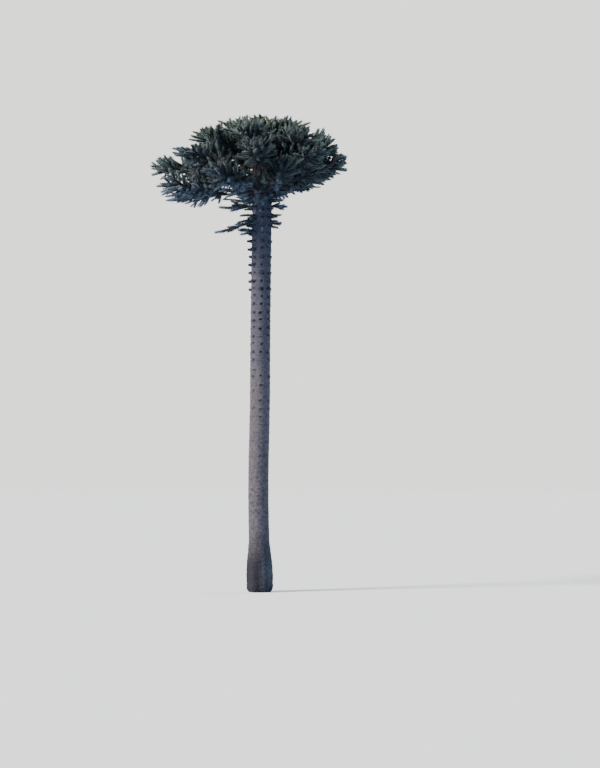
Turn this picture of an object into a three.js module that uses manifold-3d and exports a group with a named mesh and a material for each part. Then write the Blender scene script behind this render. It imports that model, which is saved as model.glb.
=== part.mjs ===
// An old monkey puzzle tree: a tall bare trunk under an umbrella crown of rope-like leafy tails.
// Millimetres, +Z up, origin at the middle of the flat cut at ground level.
// The side that the picture shows faces -Y, with +X to the right.
import * as THREE from "three";
import { mergeVertices } from "three/addons/utils/BufferGeometryUtils.js";
import Module from "manifold-3d";

const wasm = await Module();
wasm.setup();

// Driving dimensions
const GAP = 0.3; // between pieces that touch

const TRUNK = {
  top: 28700,
  crownBase: 24600, // where it starts to taper away
  buttRadius: 655, // above the root flare
  neckRadius: 618, // under the crown
  tipRadius: 95,
  taperPower: 1.15,
  sides: 16,
  leanLeft: 95, // of the lower half
  leanRight: 120, // under the crown
  sway: 60, // to the front and back
};
const FLARE = {
  out: 145, low: 1300, high: 3500, // full up to low, gone at high
  tuck: 45, tuckHeight: 320, // drawn in again at the ground
  lobes: 6, lobeShare: 0.3, lobeLow: 400, // buttresses round the foot
};
const TRUNK_RINGS = [0, 160, 500, 1000, 1500, 2000, 2500, 3000, 3600, 6500, 10000, 14000, 18000, 21500,
  24000, 25000, 25800, 26600, 27400, 28100, TRUNK.top];

// Stubs of shed boughs, in rows up the trunk
const STUBS = {
  low: 18900, high: 23400, step: 500, round: 4, radius: 62,
  length: 200, shortest: 0.55, // the share of it in the lowest row
  longer: 0.4, // on the left, and shorter on the right
};

const LIMB = { sides: 6, root: 0.5, taper: 0.42, rings: 2 }; // root: share of the trunk's radius it starts at
const STEM = { sides: 4, thick: 0.58, taper: 0.4 }; // thick: share of the bough's radius at its root
const TAIL = { length: 1380, radius: 140, sides: 3, bend: 0.45 };
const CORE = { long: 0.42, wide: 520, thick: 370, rough: 0.18, at: 0.6, around: 7, rings: 5, room: 60 };
const CROWN_HEART = 25600; // the height that the tails point away from

// Each whorl of boughs: its height on the trunk, the first bough's azimuth from +X, the reach of its tips,
// how much further they reach to the left than the mean, how high the tips rise above the whorl, how much
// higher on the right, and the share of the reach that is bare bough. In the crest the sprays stand on the
// trunk itself. Every hang-th tail hangs.
const WHORLS = [
  { name: "low", height: 25080, count: 8, turn: 199, reach: 5350, lean: 1450, rise: 380, riseRight: 600,
    leave: -0.02, bare: 0.42, tails: 12, hang: 4, thick: 118 },
  { name: "wide", height: 25950, count: 8, turn: 177, reach: 6540, lean: 950, rise: 880, riseRight: 60,
    leave: 0.08, bare: 0.38, tails: 15, hang: 0, thick: 124 },
  { name: "dome", height: 26750, count: 7, turn: 205, reach: 4950, lean: -300, rise: 1400, riseRight: -300,
    leave: 0.34, bare: 0.34, tails: 15, hang: 0, thick: 104 },
  { name: "crest", height: 27850, count: 4, turn: 44, reach: 3300, lean: 0, rise: 1250, riseRight: 0,
    leave: 0.6, bare: 0, tails: 14, hang: 0, thick: 78 },
];
const LOOSE = { turn: 7, reach: 0.03, rise: 160, height: 240 }; // how much the boughs of a whorl differ

const LEADER = {
  height: 650, aside: 40, thick: 55, tails: 8, tailLength: 1050, endTail: 720,
  long: 300, wide: 270, // its dense middle
};

// Young shoots on the trunk under the crown: azimuth, height, length, rise of the tip, side tails.
const SHOOTS = [
  { name: "left_spray", turn: 186, height: 24130, length: 2080, rise: -150, tails: 5 },
  { name: "left_long", turn: 176, height: 23200, length: 2420, rise: -760, tails: 2 },
  { name: "left_short", turn: 199, height: 22550, length: 900, rise: 20, tails: 2 },
  { name: "right_spray", turn: 352, height: 24150, length: 960, rise: -60, tails: 3 },
  { name: "right_short", turn: 8, height: 23050, length: 620, rise: 90, tails: 2 },
  { name: "front_spray", turn: 262, height: 24300, length: 1180, rise: 60, tails: 4 },
  { name: "back_spray", turn: 83, height: 23900, length: 1240, rise: 0, tails: 4 },
];
const SHOOT = { thick: 46, stemShare: 0.55, arch: 40, longestTail: 820 };

// How tails stand on a stem: the angles round it of their rows, with 0 level to one side and 90 above.
const ROWS = [10, 170, 62, 118];
const HANGING_ROW = -90;
const ROW_LOOSE = 28; // degrees to either side of the row
const SPREAD = 56; // degrees between stem and tail
const TO_LIGHT = 0.8; // how strongly tails turn away from the crown's heart
const DOWN = 0.9; // how strongly a hanging tail turns down
const HANGING_LENGTH = 0.72;
const TRIALS = 3; // a tail that doesn't fit is tried shorter
const SHORTER = 0.78;

const UP = new THREE.Vector3(0, 0, 1);
const { lerp, smoothstep, degToRad } = THREE.MathUtils;
const level = (turn) => new THREE.Vector3(Math.cos(turn), Math.sin(turn), 0);

// The same seed always gives the same draws, from 0 up to 1.
class Draw {
  constructor(seed) {
    this.state = (seed * 7919 + 104729) % 4294967296;
    for (let i = 0; i < 4; i++) this.next();
  }
  next() {
    this.state = (1664525 * this.state + 1013904223) % 4294967296;
    return this.state / 4294967296;
  }
  about(middle, share) {
    return middle * (1 + share * (2 * this.next() - 1));
  }
  within(span) {
    return span * (this.next() - 0.5);
  }
}

// Closed solids
function solid(geometry) {
  const bare = geometry.index ? geometry.toNonIndexed() : geometry.clone();
  bare.deleteAttribute("normal");
  bare.deleteAttribute("uv");
  const merged = mergeVertices(bare, 1e-3);
  const index = merged.index.array;
  const kept = [];
  for (let i = 0; i < index.length; i += 3) {
    const [a, b, c] = [index[i], index[i + 1], index[i + 2]];
    if (a !== b && b !== c && a !== c) kept.push(a, b, c);
  }
  const vertProperties = new Float32Array(merged.attributes.position.array);
  return new wasm.Manifold(new wasm.Mesh({ numProp: 3, vertProperties, triVerts: new Uint32Array(kept) }));
}

function geometryOf(body) {
  const { numProp, vertProperties, triVerts, numVert } = body.getMesh();
  const points = new Float32Array(numVert * 3);
  for (let i = 0; i < numVert; i++) points.set(vertProperties.subarray(i * numProp, i * numProp + 3), i * 3);
  return new THREE.BufferGeometry()
    .setAttribute("position", new THREE.BufferAttribute(points, 3))
    .setIndex(new THREE.BufferAttribute(new Uint32Array(triVerts), 1))
    .toNonIndexed();
}

// A closed body of revolution bent along a curve. Each ring is [share of the length, radius].
function bent(curve, rings, sides) {
  const profile = rings.map(([share, radius]) => new THREE.Vector2(radius, share));
  if (rings[0][1] > 0) profile.unshift(new THREE.Vector2(0, rings[0][0]));
  if (rings.at(-1)[1] > 0) profile.push(new THREE.Vector2(0, rings.at(-1)[0]));
  const geometry = new THREE.LatheGeometry(profile, sides);
  const sideways = new THREE.Vector3().crossVectors(curve.getTangent(0.5), UP).normalize();
  const frames = rings.map(([share]) => {
    const along = curve.getTangent(share);
    const across = new THREE.Vector3().crossVectors(sideways, along).normalize();
    return { share, at: curve.getPoint(share), across, aside: across.clone().cross(along) };
  });
  const position = geometry.attributes.position;
  for (let i = 0; i < position.count; i++) {
    const share = position.getY(i);
    const frame = frames.find((f) => Math.abs(f.share - share) < 1e-6);
    const point = frame.at.clone()
      .addScaledVector(frame.across, position.getX(i))
      .addScaledVector(frame.aside, position.getZ(i));
    position.setXYZ(i, point.x, point.y, point.z);
  }
  return solid(geometry);
}

// Fusing can seal a hollow or cut off a scrap: the hollow is filled, and only the largest body stays.
function whole(body) {
  const shells = body.decompose().filter((shell) => shell.volume() > 0);
  return shells.reduce((best, shell) => (shell.volume() > best.volume() ? shell : best));
}

// Trunk
const fall = (z, low, high) => 1 - smoothstep(z, low, high);

function trunkRadius(z) {
  const bole = lerp(TRUNK.buttRadius, TRUNK.neckRadius, Math.min(1, z / TRUNK.crownBase));
  const above = Math.max(0, (z - TRUNK.crownBase) / (TRUNK.top - TRUNK.crownBase));
  const flare = FLARE.out * fall(z, FLARE.low, FLARE.high);
  const tuck = FLARE.tuck * Math.max(0, 1 - z / FLARE.tuckHeight);
  return lerp(bole, TRUNK.tipRadius, above ** TRUNK.taperPower) + flare - tuck;
}

// The middle of the trunk: it leans a little to the left low down and a little to the right under the crown.
function heart(z) {
  const low = -TRUNK.leanLeft * Math.sin(Math.PI * Math.min(1, z / 13000)) ** 2;
  const high = TRUNK.leanRight * smoothstep(z, 13000, 27500);
  return new THREE.Vector3(low + high, TRUNK.sway * Math.sin(z / 5200), z);
}

function trunkBody(grow) {
  const profile = TRUNK_RINGS.map((z) => new THREE.Vector2(trunkRadius(z), z));
  const closed = [new THREE.Vector2(0, 0), ...profile, new THREE.Vector2(0, TRUNK.top)];
  const geometry = new THREE.LatheGeometry(closed, TRUNK.sides).rotateX(Math.PI / 2);
  const position = geometry.attributes.position;
  for (let i = 0; i < position.count; i++) {
    const x = position.getX(i);
    const y = position.getY(i);
    const z = Math.abs(position.getZ(i)) < 1e-6 ? 0 : position.getZ(i);
    const lobes = Math.cos(FLARE.lobes * Math.atan2(y, x)) * fall(z, FLARE.lobeLow, FLARE.high);
    const radius = Math.hypot(x, y);
    const scale = radius > 1 ? (radius + FLARE.lobeShare * FLARE.out * lobes + grow) / radius : 0;
    const middle = heart(z);
    position.setXYZ(i, middle.x + x * scale, middle.y + y * scale, z);
  }
  return solid(geometry);
}

function stub(turn, z, length) {
  const radius = trunkRadius(z);
  const points = [0.8 * radius, radius, radius + length].map((r) => heart(z).addScaledVector(level(turn), r));
  const path = new THREE.QuadraticBezierCurve3(...points);
  return bent(path, [[0, STUBS.radius * 1.3], [1, STUBS.radius * 0.55]], 3);
}

function stubs() {
  const pegs = [];
  const draw = new Draw(5);
  const rows = Math.round((STUBS.high - STUBS.low) / STUBS.step);
  for (let row = 0; row <= rows; row++)
    for (let k = 0; k < STUBS.round; k++) {
      const turn = degToRad((360 / STUBS.round) * (k + (row % 2) / 2) + draw.within(12));
      const length = draw.about(STUBS.length, 0.3) * lerp(STUBS.shortest, 1, row / rows);
      const z = STUBS.low + row * STUBS.step + draw.within(80);
      pegs.push(stub(turn, z, length * (1 - STUBS.longer * Math.cos(turn))));
    }
  return pegs;
}

// Boughs
const slope = (turn, rise) => level(turn).addScaledVector(UP, rise).normalize();

// The stretch of a quadratic curve between two shares of it, as a curve of its own.
function stretch(path, from, to) {
  const handle = path.v0.clone().multiplyScalar((1 - from) * (1 - to))
    .addScaledVector(path.v1, from + to - 2 * from * to)
    .addScaledVector(path.v2, from * to);
  return new THREE.QuadraticBezierCurve3(path.getPoint(from), handle, path.getPoint(to));
}

// A bough runs from inside the trunk to where its foliage starts, and the foliage's stem goes on from there.
function plannedBough(whorl, number, draw) {
  const turn = degToRad(whorl.turn + (360 / whorl.count) * number + draw.within(LOOSE.turn));
  const reach = draw.about(whorl.reach, LOOSE.reach) - whorl.lean * Math.cos(turn);
  const rise = whorl.rise + whorl.riseRight * Math.cos(turn) + draw.within(LOOSE.rise);
  const height = whorl.height + draw.within(LOOSE.height);
  const root = heart(height).addScaledVector(level(turn), LIMB.root * trunkRadius(height));
  const end = heart(height).addScaledVector(level(turn), reach - 0.85 * TAIL.length)
    .addScaledVector(UP, 0.78 * rise);
  const middle = root.clone().addScaledVector(slope(turn, whorl.leave), root.distanceTo(end) / 2);
  const path = new THREE.QuadraticBezierCurve3(root, middle, end);
  const limbPath = whorl.bare ? stretch(path, 0, whorl.bare) : null;
  const stemPath = stretch(path, whorl.bare, 1);
  if (limbPath) stemPath.v0.addScaledVector(stemPath.getTangent(0), GAP);
  return {
    ...whorl, name: `${whorl.name}_${number + 1}`, limbPath, stemPath,
    samples: limbPath ? limbPath.getPoints(6) : [], firstTail: limbPath ? 0.12 : 0.4,
    endTail: TAIL.length, tailLength: TAIL.length, stemThick: whorl.thick * STEM.thick,
    core: { long: CORE.long * stemPath.getLength(), wide: CORE.wide, thick: CORE.thick, at: CORE.at },
  };
}

function limb(plan) {
  const shares = Array.from({ length: LIMB.rings + 1 }, (_, i) => i / LIMB.rings);
  return bent(plan.limbPath, shares.map((s) => [s, plan.thick * (1 - LIMB.taper * s)]), LIMB.sides);
}

// Each mass keeps to its own space: what is nearest to its own stem, and clear of the trunk and every limb.
const line = new THREE.Line3();
const nearest = new THREE.Vector3();
function distance(point, samples) {
  let best = Infinity;
  for (let i = 1; i < samples.length; i++) {
    line.set(samples[i - 1], samples[i]).closestPointToPoint(point, true, nearest);
    best = Math.min(best, nearest.distanceTo(point));
  }
  return best;
}

function hasRoom(point, plan, room, plans, limbs) {
  const own = distance(point, plan.stemSamples);
  const z = Math.min(point.z, TRUNK.top);
  const middle = heart(z);
  const fromTrunk = Math.hypot(point.x - middle.x, point.y - middle.y) - trunkRadius(z);
  return (fromTrunk > room || point.z > TRUNK.top + room) &&
    limbs.every((l) => distance(point, l.samples) > l.thick + room) &&
    plans.every((other) => other === plan || distance(point, other.stemSamples) - own > 2 * room);
}

// Foliage
// A tail is a rope of scale leaves: a three-sided rod with two teeth that ends in a point.
const TEETH = [[0, 0], [0.3, 1], [0.38, 0.7], [0.8, 0.9], [1, 0]];
function tailBody({ path, radius }) {
  return bent(path, TEETH.map(([share, width]) => [share, width * radius]), TAIL.sides);
}

function tailAlong(start, leave, arrive, length, radius) {
  const turning = start.clone().addScaledVector(leave, length * TAIL.bend);
  const tip = turning.clone().addScaledVector(arrive, length * (1 - TAIL.bend));
  const path = new THREE.QuadraticBezierCurve3(start, turning, tip);
  return { path, radius, outer: path.getPoints(6).slice(2) };
}

const towardsLight = (p) => new THREE.Vector3(p.x, p.y, 1.6 * (p.z - CROWN_HEART)).normalize();

// Whether a tail stays in its mass's space and clear of the tails that have grown already.
function fits(tail, plan, grown, plans, limbs) {
  return [0.12, 0.3, 0.5, 0.65, 0.82, 1].every((share) => {
    const point = tail.path.getPoint(share);
    const near = (other) => distance(point, other.outer) < tail.radius + other.radius;
    return !(share >= 0.5 && grown.some(near)) && hasRoom(point, plan, tail.radius + 8, plans, limbs);
  });
}

// The seeded rule of a spray: tails leave the stem in rows, to both sides and above it, and bend towards the
// light; the stem ends in a tail of its own.
function tailsOf(plan, plans, limbs) {
  const draw = new Draw(plan.seed);
  const { stemPath, hang } = plan;
  const last = stemPath.getTangent(1);
  const lifted = last.clone().addScaledVector(UP, 0.25).normalize();
  const grown = [tailAlong(stemPath.getPoint(0.9), last, lifted, plan.endTail, TAIL.radius)];
  for (let i = 0; i < plan.tails; i++) {
    const share = lerp(plan.firstTail, 0.9, i / (plan.tails - 1));
    const start = stemPath.getPoint(share);
    const along = stemPath.getTangent(share);
    const aside = new THREE.Vector3().crossVectors(UP, along).normalize();
    const lift = new THREE.Vector3().crossVectors(along, aside);
    const hangs = hang > 0 && i % hang === 1;
    const round = degToRad((hangs ? HANGING_ROW : ROWS[i % ROWS.length]) + draw.within(2 * ROW_LOOSE));
    const out = aside.multiplyScalar(Math.cos(round)).addScaledVector(lift, Math.sin(round));
    const spread = degToRad(draw.about(SPREAD, 0.25));
    const leave = along.multiplyScalar(Math.cos(spread)).addScaledVector(out, Math.sin(spread));
    const arrive = leave.clone().addScaledVector(towardsLight(start), TO_LIGHT)
      .addScaledVector(UP, hangs ? -DOWN : 0).normalize();
    const radius = TAIL.radius * (hangs ? 0.8 : 1);
    let length = draw.about(plan.tailLength, 0.16) * lerp(1.12, 0.9, share) * (hangs ? HANGING_LENGTH : 1);
    for (let trial = 0; trial < TRIALS; trial++, length *= SHORTER) {
      const tail = tailAlong(start, leave, arrive, length, radius);
      if (fits(tail, plan, grown, plans, limbs)) {
        grown.push(tail);
        break;
      }
    }
  }
  return grown;
}

// The dense middle of a mass: a flattened rough ball round the stem, drawn in where it would leave its space.
function coreBody(plan, plans, limbs) {
  const draw = new Draw(plan.seed + 5000);
  const ball = new THREE.SphereGeometry(1, CORE.around, CORE.rings);
  ball.deleteAttribute("normal");
  ball.deleteAttribute("uv");
  const geometry = mergeVertices(ball, 1e-3);
  const middle = plan.stemPath.getPoint(plan.core.at);
  const along = plan.stemPath.getTangent(plan.core.at);
  const aside = new THREE.Vector3().crossVectors(UP, along).normalize();
  const lift = new THREE.Vector3().crossVectors(along, aside);
  const position = geometry.attributes.position;
  for (let i = 0; i < position.count; i++) {
    const reach = new THREE.Vector3()
      .addScaledVector(lift, position.getX(i) * plan.core.thick)
      .addScaledVector(along, position.getY(i) * plan.core.long)
      .addScaledVector(aside, position.getZ(i) * plan.core.wide)
      .multiplyScalar(draw.about(1, CORE.rough));
    const at = (share) => middle.clone().addScaledVector(reach, share);
    let share = 1;
    while (share > 0.1 && !hasRoom(at(share), plan, CORE.room, plans, limbs)) share -= 0.06;
    position.setXYZ(i, ...at(share).toArray());
  }
  return solid(geometry);
}

function spray(plan, plans, limbs) {
  const stem = bent(plan.stemPath, [[0, plan.stemThick], [1, plan.stemThick * (1 - STEM.taper)]], STEM.sides);
  const middle = plan.core ? [coreBody(plan, plans, limbs)] : [];
  return wasm.Manifold.union([stem, ...middle, ...tailsOf(plan, plans, limbs).map(tailBody)]);
}

// Planning
const boughs = WHORLS.flatMap((whorl, w) => {
  const draw = new Draw(w + 11);
  return Array.from({ length: whorl.count }, (_, number) => plannedBough(whorl, number, draw));
});

function plannedLeader() {
  const foot = heart(TRUNK.top).addScaledVector(UP, GAP);
  const tip = foot.clone().add(new THREE.Vector3(LEADER.aside, 0, LEADER.height));
  return {
    name: "leader", tails: LEADER.tails, hang: 0, firstTail: 0.3, endTail: LEADER.endTail,
    tailLength: LEADER.tailLength, stemThick: LEADER.thick,
    core: { long: LEADER.long, wide: LEADER.wide, thick: LEADER.wide, at: CORE.at },
    stemPath: new THREE.QuadraticBezierCurve3(foot, foot.clone().addScaledVector(UP, LEADER.height / 2), tip),
  };
}

function plannedShoot(shoot) {
  const turn = degToRad(shoot.turn);
  const radius = trunkRadius(shoot.height);
  const root = heart(shoot.height).addScaledVector(level(turn), 0.8 * radius);
  const tip = heart(shoot.height).addScaledVector(level(turn), radius + SHOOT.stemShare * shoot.length)
    .addScaledVector(UP, 0.6 * shoot.rise);
  const middle = root.clone().lerp(tip, 0.5).addScaledVector(UP, SHOOT.arch);
  return {
    name: `shoot_${shoot.name}`, tails: shoot.tails, hang: 0, firstTail: 0.55, endTail: shoot.length / 2,
    tailLength: Math.min(SHOOT.longestTail, shoot.length / 2), stemThick: SHOOT.thick,
    stemPath: new THREE.QuadraticBezierCurve3(root, middle, tip),
  };
}

const sprays = [...boughs, plannedLeader(), ...SHOOTS.map(plannedShoot)];
for (const [i, plan] of sprays.entries()) {
  plan.seed = 100 + i;
  plan.stemSamples = plan.stemPath.getPoints(6);
}
const limbs = boughs.filter((plan) => plan.limbPath);

// Assembly
const MATERIALS = {
  bark: new THREE.MeshStandardMaterial({ color: "#57535c", roughness: 0.92, metalness: 0 }),
  limb: new THREE.MeshStandardMaterial({ color: "#4a4440", roughness: 0.9, metalness: 0 }),
  foliage: new THREE.MeshStandardMaterial({ color: "#2c3d35", roughness: 0.7, metalness: 0 }),
};

const tree = new THREE.Group();
function add(name, body, material) {
  const mesh = new THREE.Mesh(geometryOf(body), material);
  mesh.name = name;
  tree.add(mesh);
}

const trunkRoom = trunkBody(GAP);
add("trunk", wasm.Manifold.union([trunkBody(0), ...stubs()]), MATERIALS.bark);
for (const plan of limbs) add(`bough_${plan.name}`, whole(limb(plan).subtract(trunkRoom)), MATERIALS.limb);
for (const plan of sprays) {
  const name = boughs.includes(plan) ? `foliage_${plan.name}` : plan.name;
  add(name, whole(spray(plan, sprays, limbs).subtract(trunkRoom)), MATERIALS.foliage);
}

export default tree;
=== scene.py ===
"""The looks of an old monkey puzzle tree: plated bark, boughs, branchlets and scale leaves, in metres."""
import sys
import logging
import math
from dataclasses import dataclass, field, replace
from enum import Enum
from functools import reduce
from itertools import pairwise
from typing import ClassVar

import bpy
import numpy as np
from bpy.types import Material, Mesh, Node, NodeSocket, NodeTree, Object
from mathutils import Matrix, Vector, noise


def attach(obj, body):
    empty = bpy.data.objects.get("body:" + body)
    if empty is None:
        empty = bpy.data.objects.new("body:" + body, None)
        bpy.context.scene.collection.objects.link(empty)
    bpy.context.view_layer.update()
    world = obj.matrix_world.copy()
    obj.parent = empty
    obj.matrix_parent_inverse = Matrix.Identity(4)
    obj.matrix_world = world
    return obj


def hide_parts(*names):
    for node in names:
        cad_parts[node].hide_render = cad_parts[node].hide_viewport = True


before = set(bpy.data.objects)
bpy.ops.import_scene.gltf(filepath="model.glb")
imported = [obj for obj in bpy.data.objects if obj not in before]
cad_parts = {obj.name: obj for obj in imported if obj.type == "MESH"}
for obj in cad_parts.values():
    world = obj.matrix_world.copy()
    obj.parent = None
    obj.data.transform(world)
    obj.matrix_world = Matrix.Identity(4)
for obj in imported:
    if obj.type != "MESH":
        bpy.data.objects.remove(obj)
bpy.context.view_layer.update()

BODY = "root"
PIECE_LIMIT = 189000  # triangles, past which a further piece is started
GOLDEN_ANGLE = 137.508  # degrees
CROWN_HEART = 25.6
TINY = 1e-6
UP = np.array((0.0, 0.0, 1.0))
SHARES = np.linspace(0, 1, 7)  # of a curve, where distances from it are measured
SCATTER = (12.9898, 78.233, 37.719)  # factors that share no measure, for scattered()
SCATTER_FAR = 43758.5453

Array = np.ndarray
Colour = tuple[float, float, float]
Band = tuple[float, float, float, float]
Depth = tuple[float, float, float]
Axes = tuple[float, float, float]
Profile = tuple[tuple[float, float], ...]
Inputs = dict[str | int, object]
log = logging.getLogger("tree")


# Draws, curves and directions
class Draw:
    """Seeded draws from 0 up to 1, the same as those of the solids."""

    RANGE = 4294967296
    FACTOR = 1664525
    STEP = 1013904223
    SEED_FACTOR = 7919
    SEED_STEP = 104729
    SKIPPED = 4

    def __init__(self, seed: int) -> None:
        """Starts the draws of one seed.

        Args:
            seed: a whole number; the same one always gives the same draws.
        """
        self.state = (seed * self.SEED_FACTOR + self.SEED_STEP) % self.RANGE
        for _ in range(self.SKIPPED):
            self.next()

    def next(self) -> float:
        """Returns the next draw."""
        self.state = (self.FACTOR * self.state + self.STEP) % self.RANGE
        return self.state / self.RANGE

    def about(self, middle: float, share: float) -> float:
        """Returns a value up to a share above or below the middle."""
        return middle * (1 + share * (2 * self.next() - 1))

    def within(self, span: float) -> float:
        """Returns a value from minus half the span to plus half of it."""
        return span * (self.next() - 0.5)


def lerp(low: float, high: float, share: float) -> float:
    """Returns the value at a share of the way from low to high."""
    return low + (high - low) * share


def smoothstep(value: Array, low: float, high: float) -> Array:
    """Returns 0 below low and 1 above high, with a smooth rise between them."""
    share = np.clip((np.asarray(value, float) - low) / (high - low), 0, 1)
    return share * share * (3 - 2 * share)


@dataclass(frozen=True)
class Ramp:
    """A smooth change by an amount, between two heights or shares."""

    low: float
    high: float
    amount: float = 1

    def up(self, values: Array) -> Array:
        """Returns 0 below the ramp and the amount above it."""
        return self.amount * smoothstep(values, self.low, self.high)

    def down(self, values: Array) -> Array:
        """Returns the amount below the ramp and 0 above it."""
        return self.amount * (1 - smoothstep(values, self.low, self.high))


def scattered(values: Array) -> Array:
    """Returns large values whose shares of a whole are spread from 0 to 1, the same ones each time."""
    return np.sin(values) * SCATTER_FAR


def unit(vectors: Array) -> Array:
    """Returns the vectors at length one."""
    return vectors / np.linalg.norm(vectors, axis=-1, keepdims=True)


def level(turn: float) -> Array:
    """Returns the level direction at an azimuth from +X, in radians."""
    return np.array((math.cos(turn), math.sin(turn), 0.0))


@dataclass
class Path:
    """A quadratic curve that a limb, a stem or a tail follows."""

    start: Array
    handle: Array
    end: Array

    STEEP: ClassVar[float] = 0.93
    SAMPLES: ClassVar[int] = 33

    def at(self, shares: Array | float) -> Array:
        """Returns the points at shares of the curve, one row each."""
        s = np.atleast_1d(shares)[:, None]
        return (1 - s) ** 2 * self.start + 2 * s * (1 - s) * self.handle + s * s * self.end

    def along(self, shares: Array | float) -> Array:
        """Returns the directions at shares of the curve, one row each."""
        s = np.atleast_1d(shares)[:, None]
        return unit((1 - s) * (self.handle - self.start) + s * (self.end - self.handle))

    def length(self) -> float:
        """Returns the curve's length."""
        return float(np.linalg.norm(np.diff(self.at(np.linspace(0, 1, self.SAMPLES)), axis=0), axis=1).sum())

    def stretch(self, low: float, high: float) -> "Path":
        """Returns the stretch between two shares of the curve, as a curve of its own.

        Args:
            low: the share where the stretch starts.
            high: the share where it ends.

        Returns:
            The new curve.
        """
        handle = (
            (1 - low) * (1 - high) * self.start
            + (low + high - 2 * low * high) * self.handle
            + low * high * self.end
        )
        return Path(self.at(low)[0], handle, self.at(high)[0])

    def frames(self, shares: Array) -> tuple[Array, Array, Array, Array]:
        """Gives the place and the axes that a shape bent along the curve needs.

        Args:
            shares: the shares of the curve.

        Returns:
            Points, two directions across the curve, and the directions along it, one row for each share.
        """
        along = self.along(shares)
        middle = self.along(0.5)[0]
        steep = abs(float(middle @ UP)) > self.STEEP
        sideways = unit(np.cross(middle, np.array((1.0, 0.0, 0.0)) if steep else UP))
        across = unit(np.cross(sideways, along))
        return self.at(shares), np.cross(across, along), across, along

    def bent(self, points: Array, width: Array | float) -> Array:
        """Bends a shape along the curve.

        Args:
            points: the shape's points, which stand round the Z axis from the origin to a height of one.
            width: what one unit of their distance from that axis becomes.

        Returns:
            The points round the curve.
        """
        places, aside, across, _ = self.frames(points[:, 2])
        wide = width * points[:, :2]
        return places + (wide[:, :1] * aside + wide[:, 1:] * across)


# The tree's plan, by the same rule and sizes as its solids
@dataclass(frozen=True)
class Bole:
    """The line and the thickness of the trunk."""

    top: float = 28.7
    crown_base: float = 24.6
    butt_radius: float = 0.655
    neck_radius: float = 0.618
    tip_radius: float = 0.095
    taper_power: float = 1.15
    lean_left: float = 0.095
    lean_right: float = 0.12
    lean_low: float = 13
    lean_high: float = 27.5
    sway: float = 0.06
    sway_length: float = 5.2
    flare_out: float = 0.145
    flare_low: float = 1.3
    flare_high: float = 3.5
    tuck: float = 0.045
    tuck_height: float = 0.32
    lobes: int = 6
    lobe_share: float = 0.3
    lobe_low: float = 0.4

    def heart(self, z: Array | float) -> Array:
        """Finds the middle of the trunk.

        Args:
            z: one height or more.

        Returns:
            The middle at each height, one row each.
        """
        z = np.atleast_1d(np.asarray(z, float))
        low = -self.lean_left * np.sin(np.pi * np.minimum(1, z / self.lean_low)) ** 2
        high = self.lean_right * smoothstep(z, self.lean_low, self.lean_high)
        return np.stack((low + high, self.sway * np.sin(z / self.sway_length), z), axis=1)

    def radius(self, z: Array | float) -> Array:
        """Finds the trunk's radius, without its lobes.

        Args:
            z: one height or more.

        Returns:
            The radius at each height.
        """
        z = np.atleast_1d(np.asarray(z, float))
        bole = lerp(self.butt_radius, self.neck_radius, np.minimum(1, z / self.crown_base))
        above = np.maximum(0, (z - self.crown_base) / (self.top - self.crown_base))
        flare = self.flare_out * (1 - smoothstep(z, self.flare_low, self.flare_high))
        tuck = self.tuck * np.maximum(0, 1 - z / self.tuck_height)
        return lerp(bole, self.tip_radius, above**self.taper_power) + flare - tuck

    def at(self, z: float, out: Array, share: float, beyond: float = 0) -> Array:
        """Finds a point in the trunk or beside it.

        Args:
            z: its height.
            out: the level direction in which it lies.
            share: the share of the trunk's radius at which it lies.
            beyond: how much farther out it lies than that.

        Returns:
            The point.
        """
        return self.heart(z)[0] + out * (share * self.radius(z)[0] + beyond)

    def lobe(self, turn: Array, z: Array) -> Array:
        """Returns how far the foot's lobes stand out at azimuths and heights."""
        fade = 1 - smoothstep(z, self.lobe_low, self.flare_high)
        return self.lobe_share * self.flare_out * np.cos(self.lobes * turn) * fade


@dataclass(frozen=True)
class Whorl:
    """A ring of boughs, with the same sizes as in the solids.

    Attributes:
        name: the ring's name.
        height: where its boughs leave the trunk.
        count: how many boughs it has.
        turn: the azimuth of its first bough, in degrees.
        reach: how far out its boughs end.
        lean: how much farther out they end on the left, and how much nearer on the right.
        rise: how much higher than their roots they end.
        rise_right: how much more they rise on the right.
        leave: their slope where they leave the trunk.
        bare: the share of a bough that carries no tails.
        tails: how many tails stand on the rest of it.
        hang: how many tails there are to each hanging one, or 0 for none.
        thick: a bough's radius at its root.
    """

    name: str
    height: float
    count: int
    turn: float
    reach: float
    lean: float
    rise: float
    rise_right: float
    leave: float
    bare: float
    tails: int
    hang: int
    thick: float


@dataclass(frozen=True)
class Shoot:
    """A young leafy shoot on the trunk under the crown.

    Attributes:
        name: its name.
        turn: its azimuth, in degrees.
        height: where it leaves the trunk.
        length: how far it reaches, leaves and all.
        rise: how much higher than its root it ends.
        tails: how many tails it carries.
    """

    name: str
    turn: float
    height: float
    length: float
    rise: float
    tails: int


WHORLS = (
    Whorl("low", 25.08, 8, 199, 5.35, 1.45, 0.38, 0.6, -0.02, 0.42, 12, 4, 0.118),
    Whorl("wide", 25.95, 8, 177, 6.54, 0.95, 0.88, 0.06, 0.08, 0.38, 15, 0, 0.124),
    Whorl("dome", 26.75, 7, 205, 4.95, -0.3, 1.4, -0.3, 0.34, 0.34, 15, 0, 0.104),
    Whorl("crest", 27.85, 4, 44, 3.3, 0, 1.25, 0, 0.6, 0, 14, 0, 0.078),
)
SHOOTS = (
    Shoot("left_spray", 186, 24.13, 2.08, -0.15, 5),
    Shoot("left_long", 176, 23.2, 2.42, -0.76, 2),
    Shoot("left_short", 199, 22.55, 0.9, 0.02, 2),
    Shoot("right_spray", 352, 24.15, 0.96, -0.06, 3),
    Shoot("right_short", 8, 23.05, 0.62, 0.09, 2),
    Shoot("front_spray", 262, 24.3, 1.18, 0.06, 4),
    Shoot("back_spray", 83, 23.9, 1.24, 0, 4),
)


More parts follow.
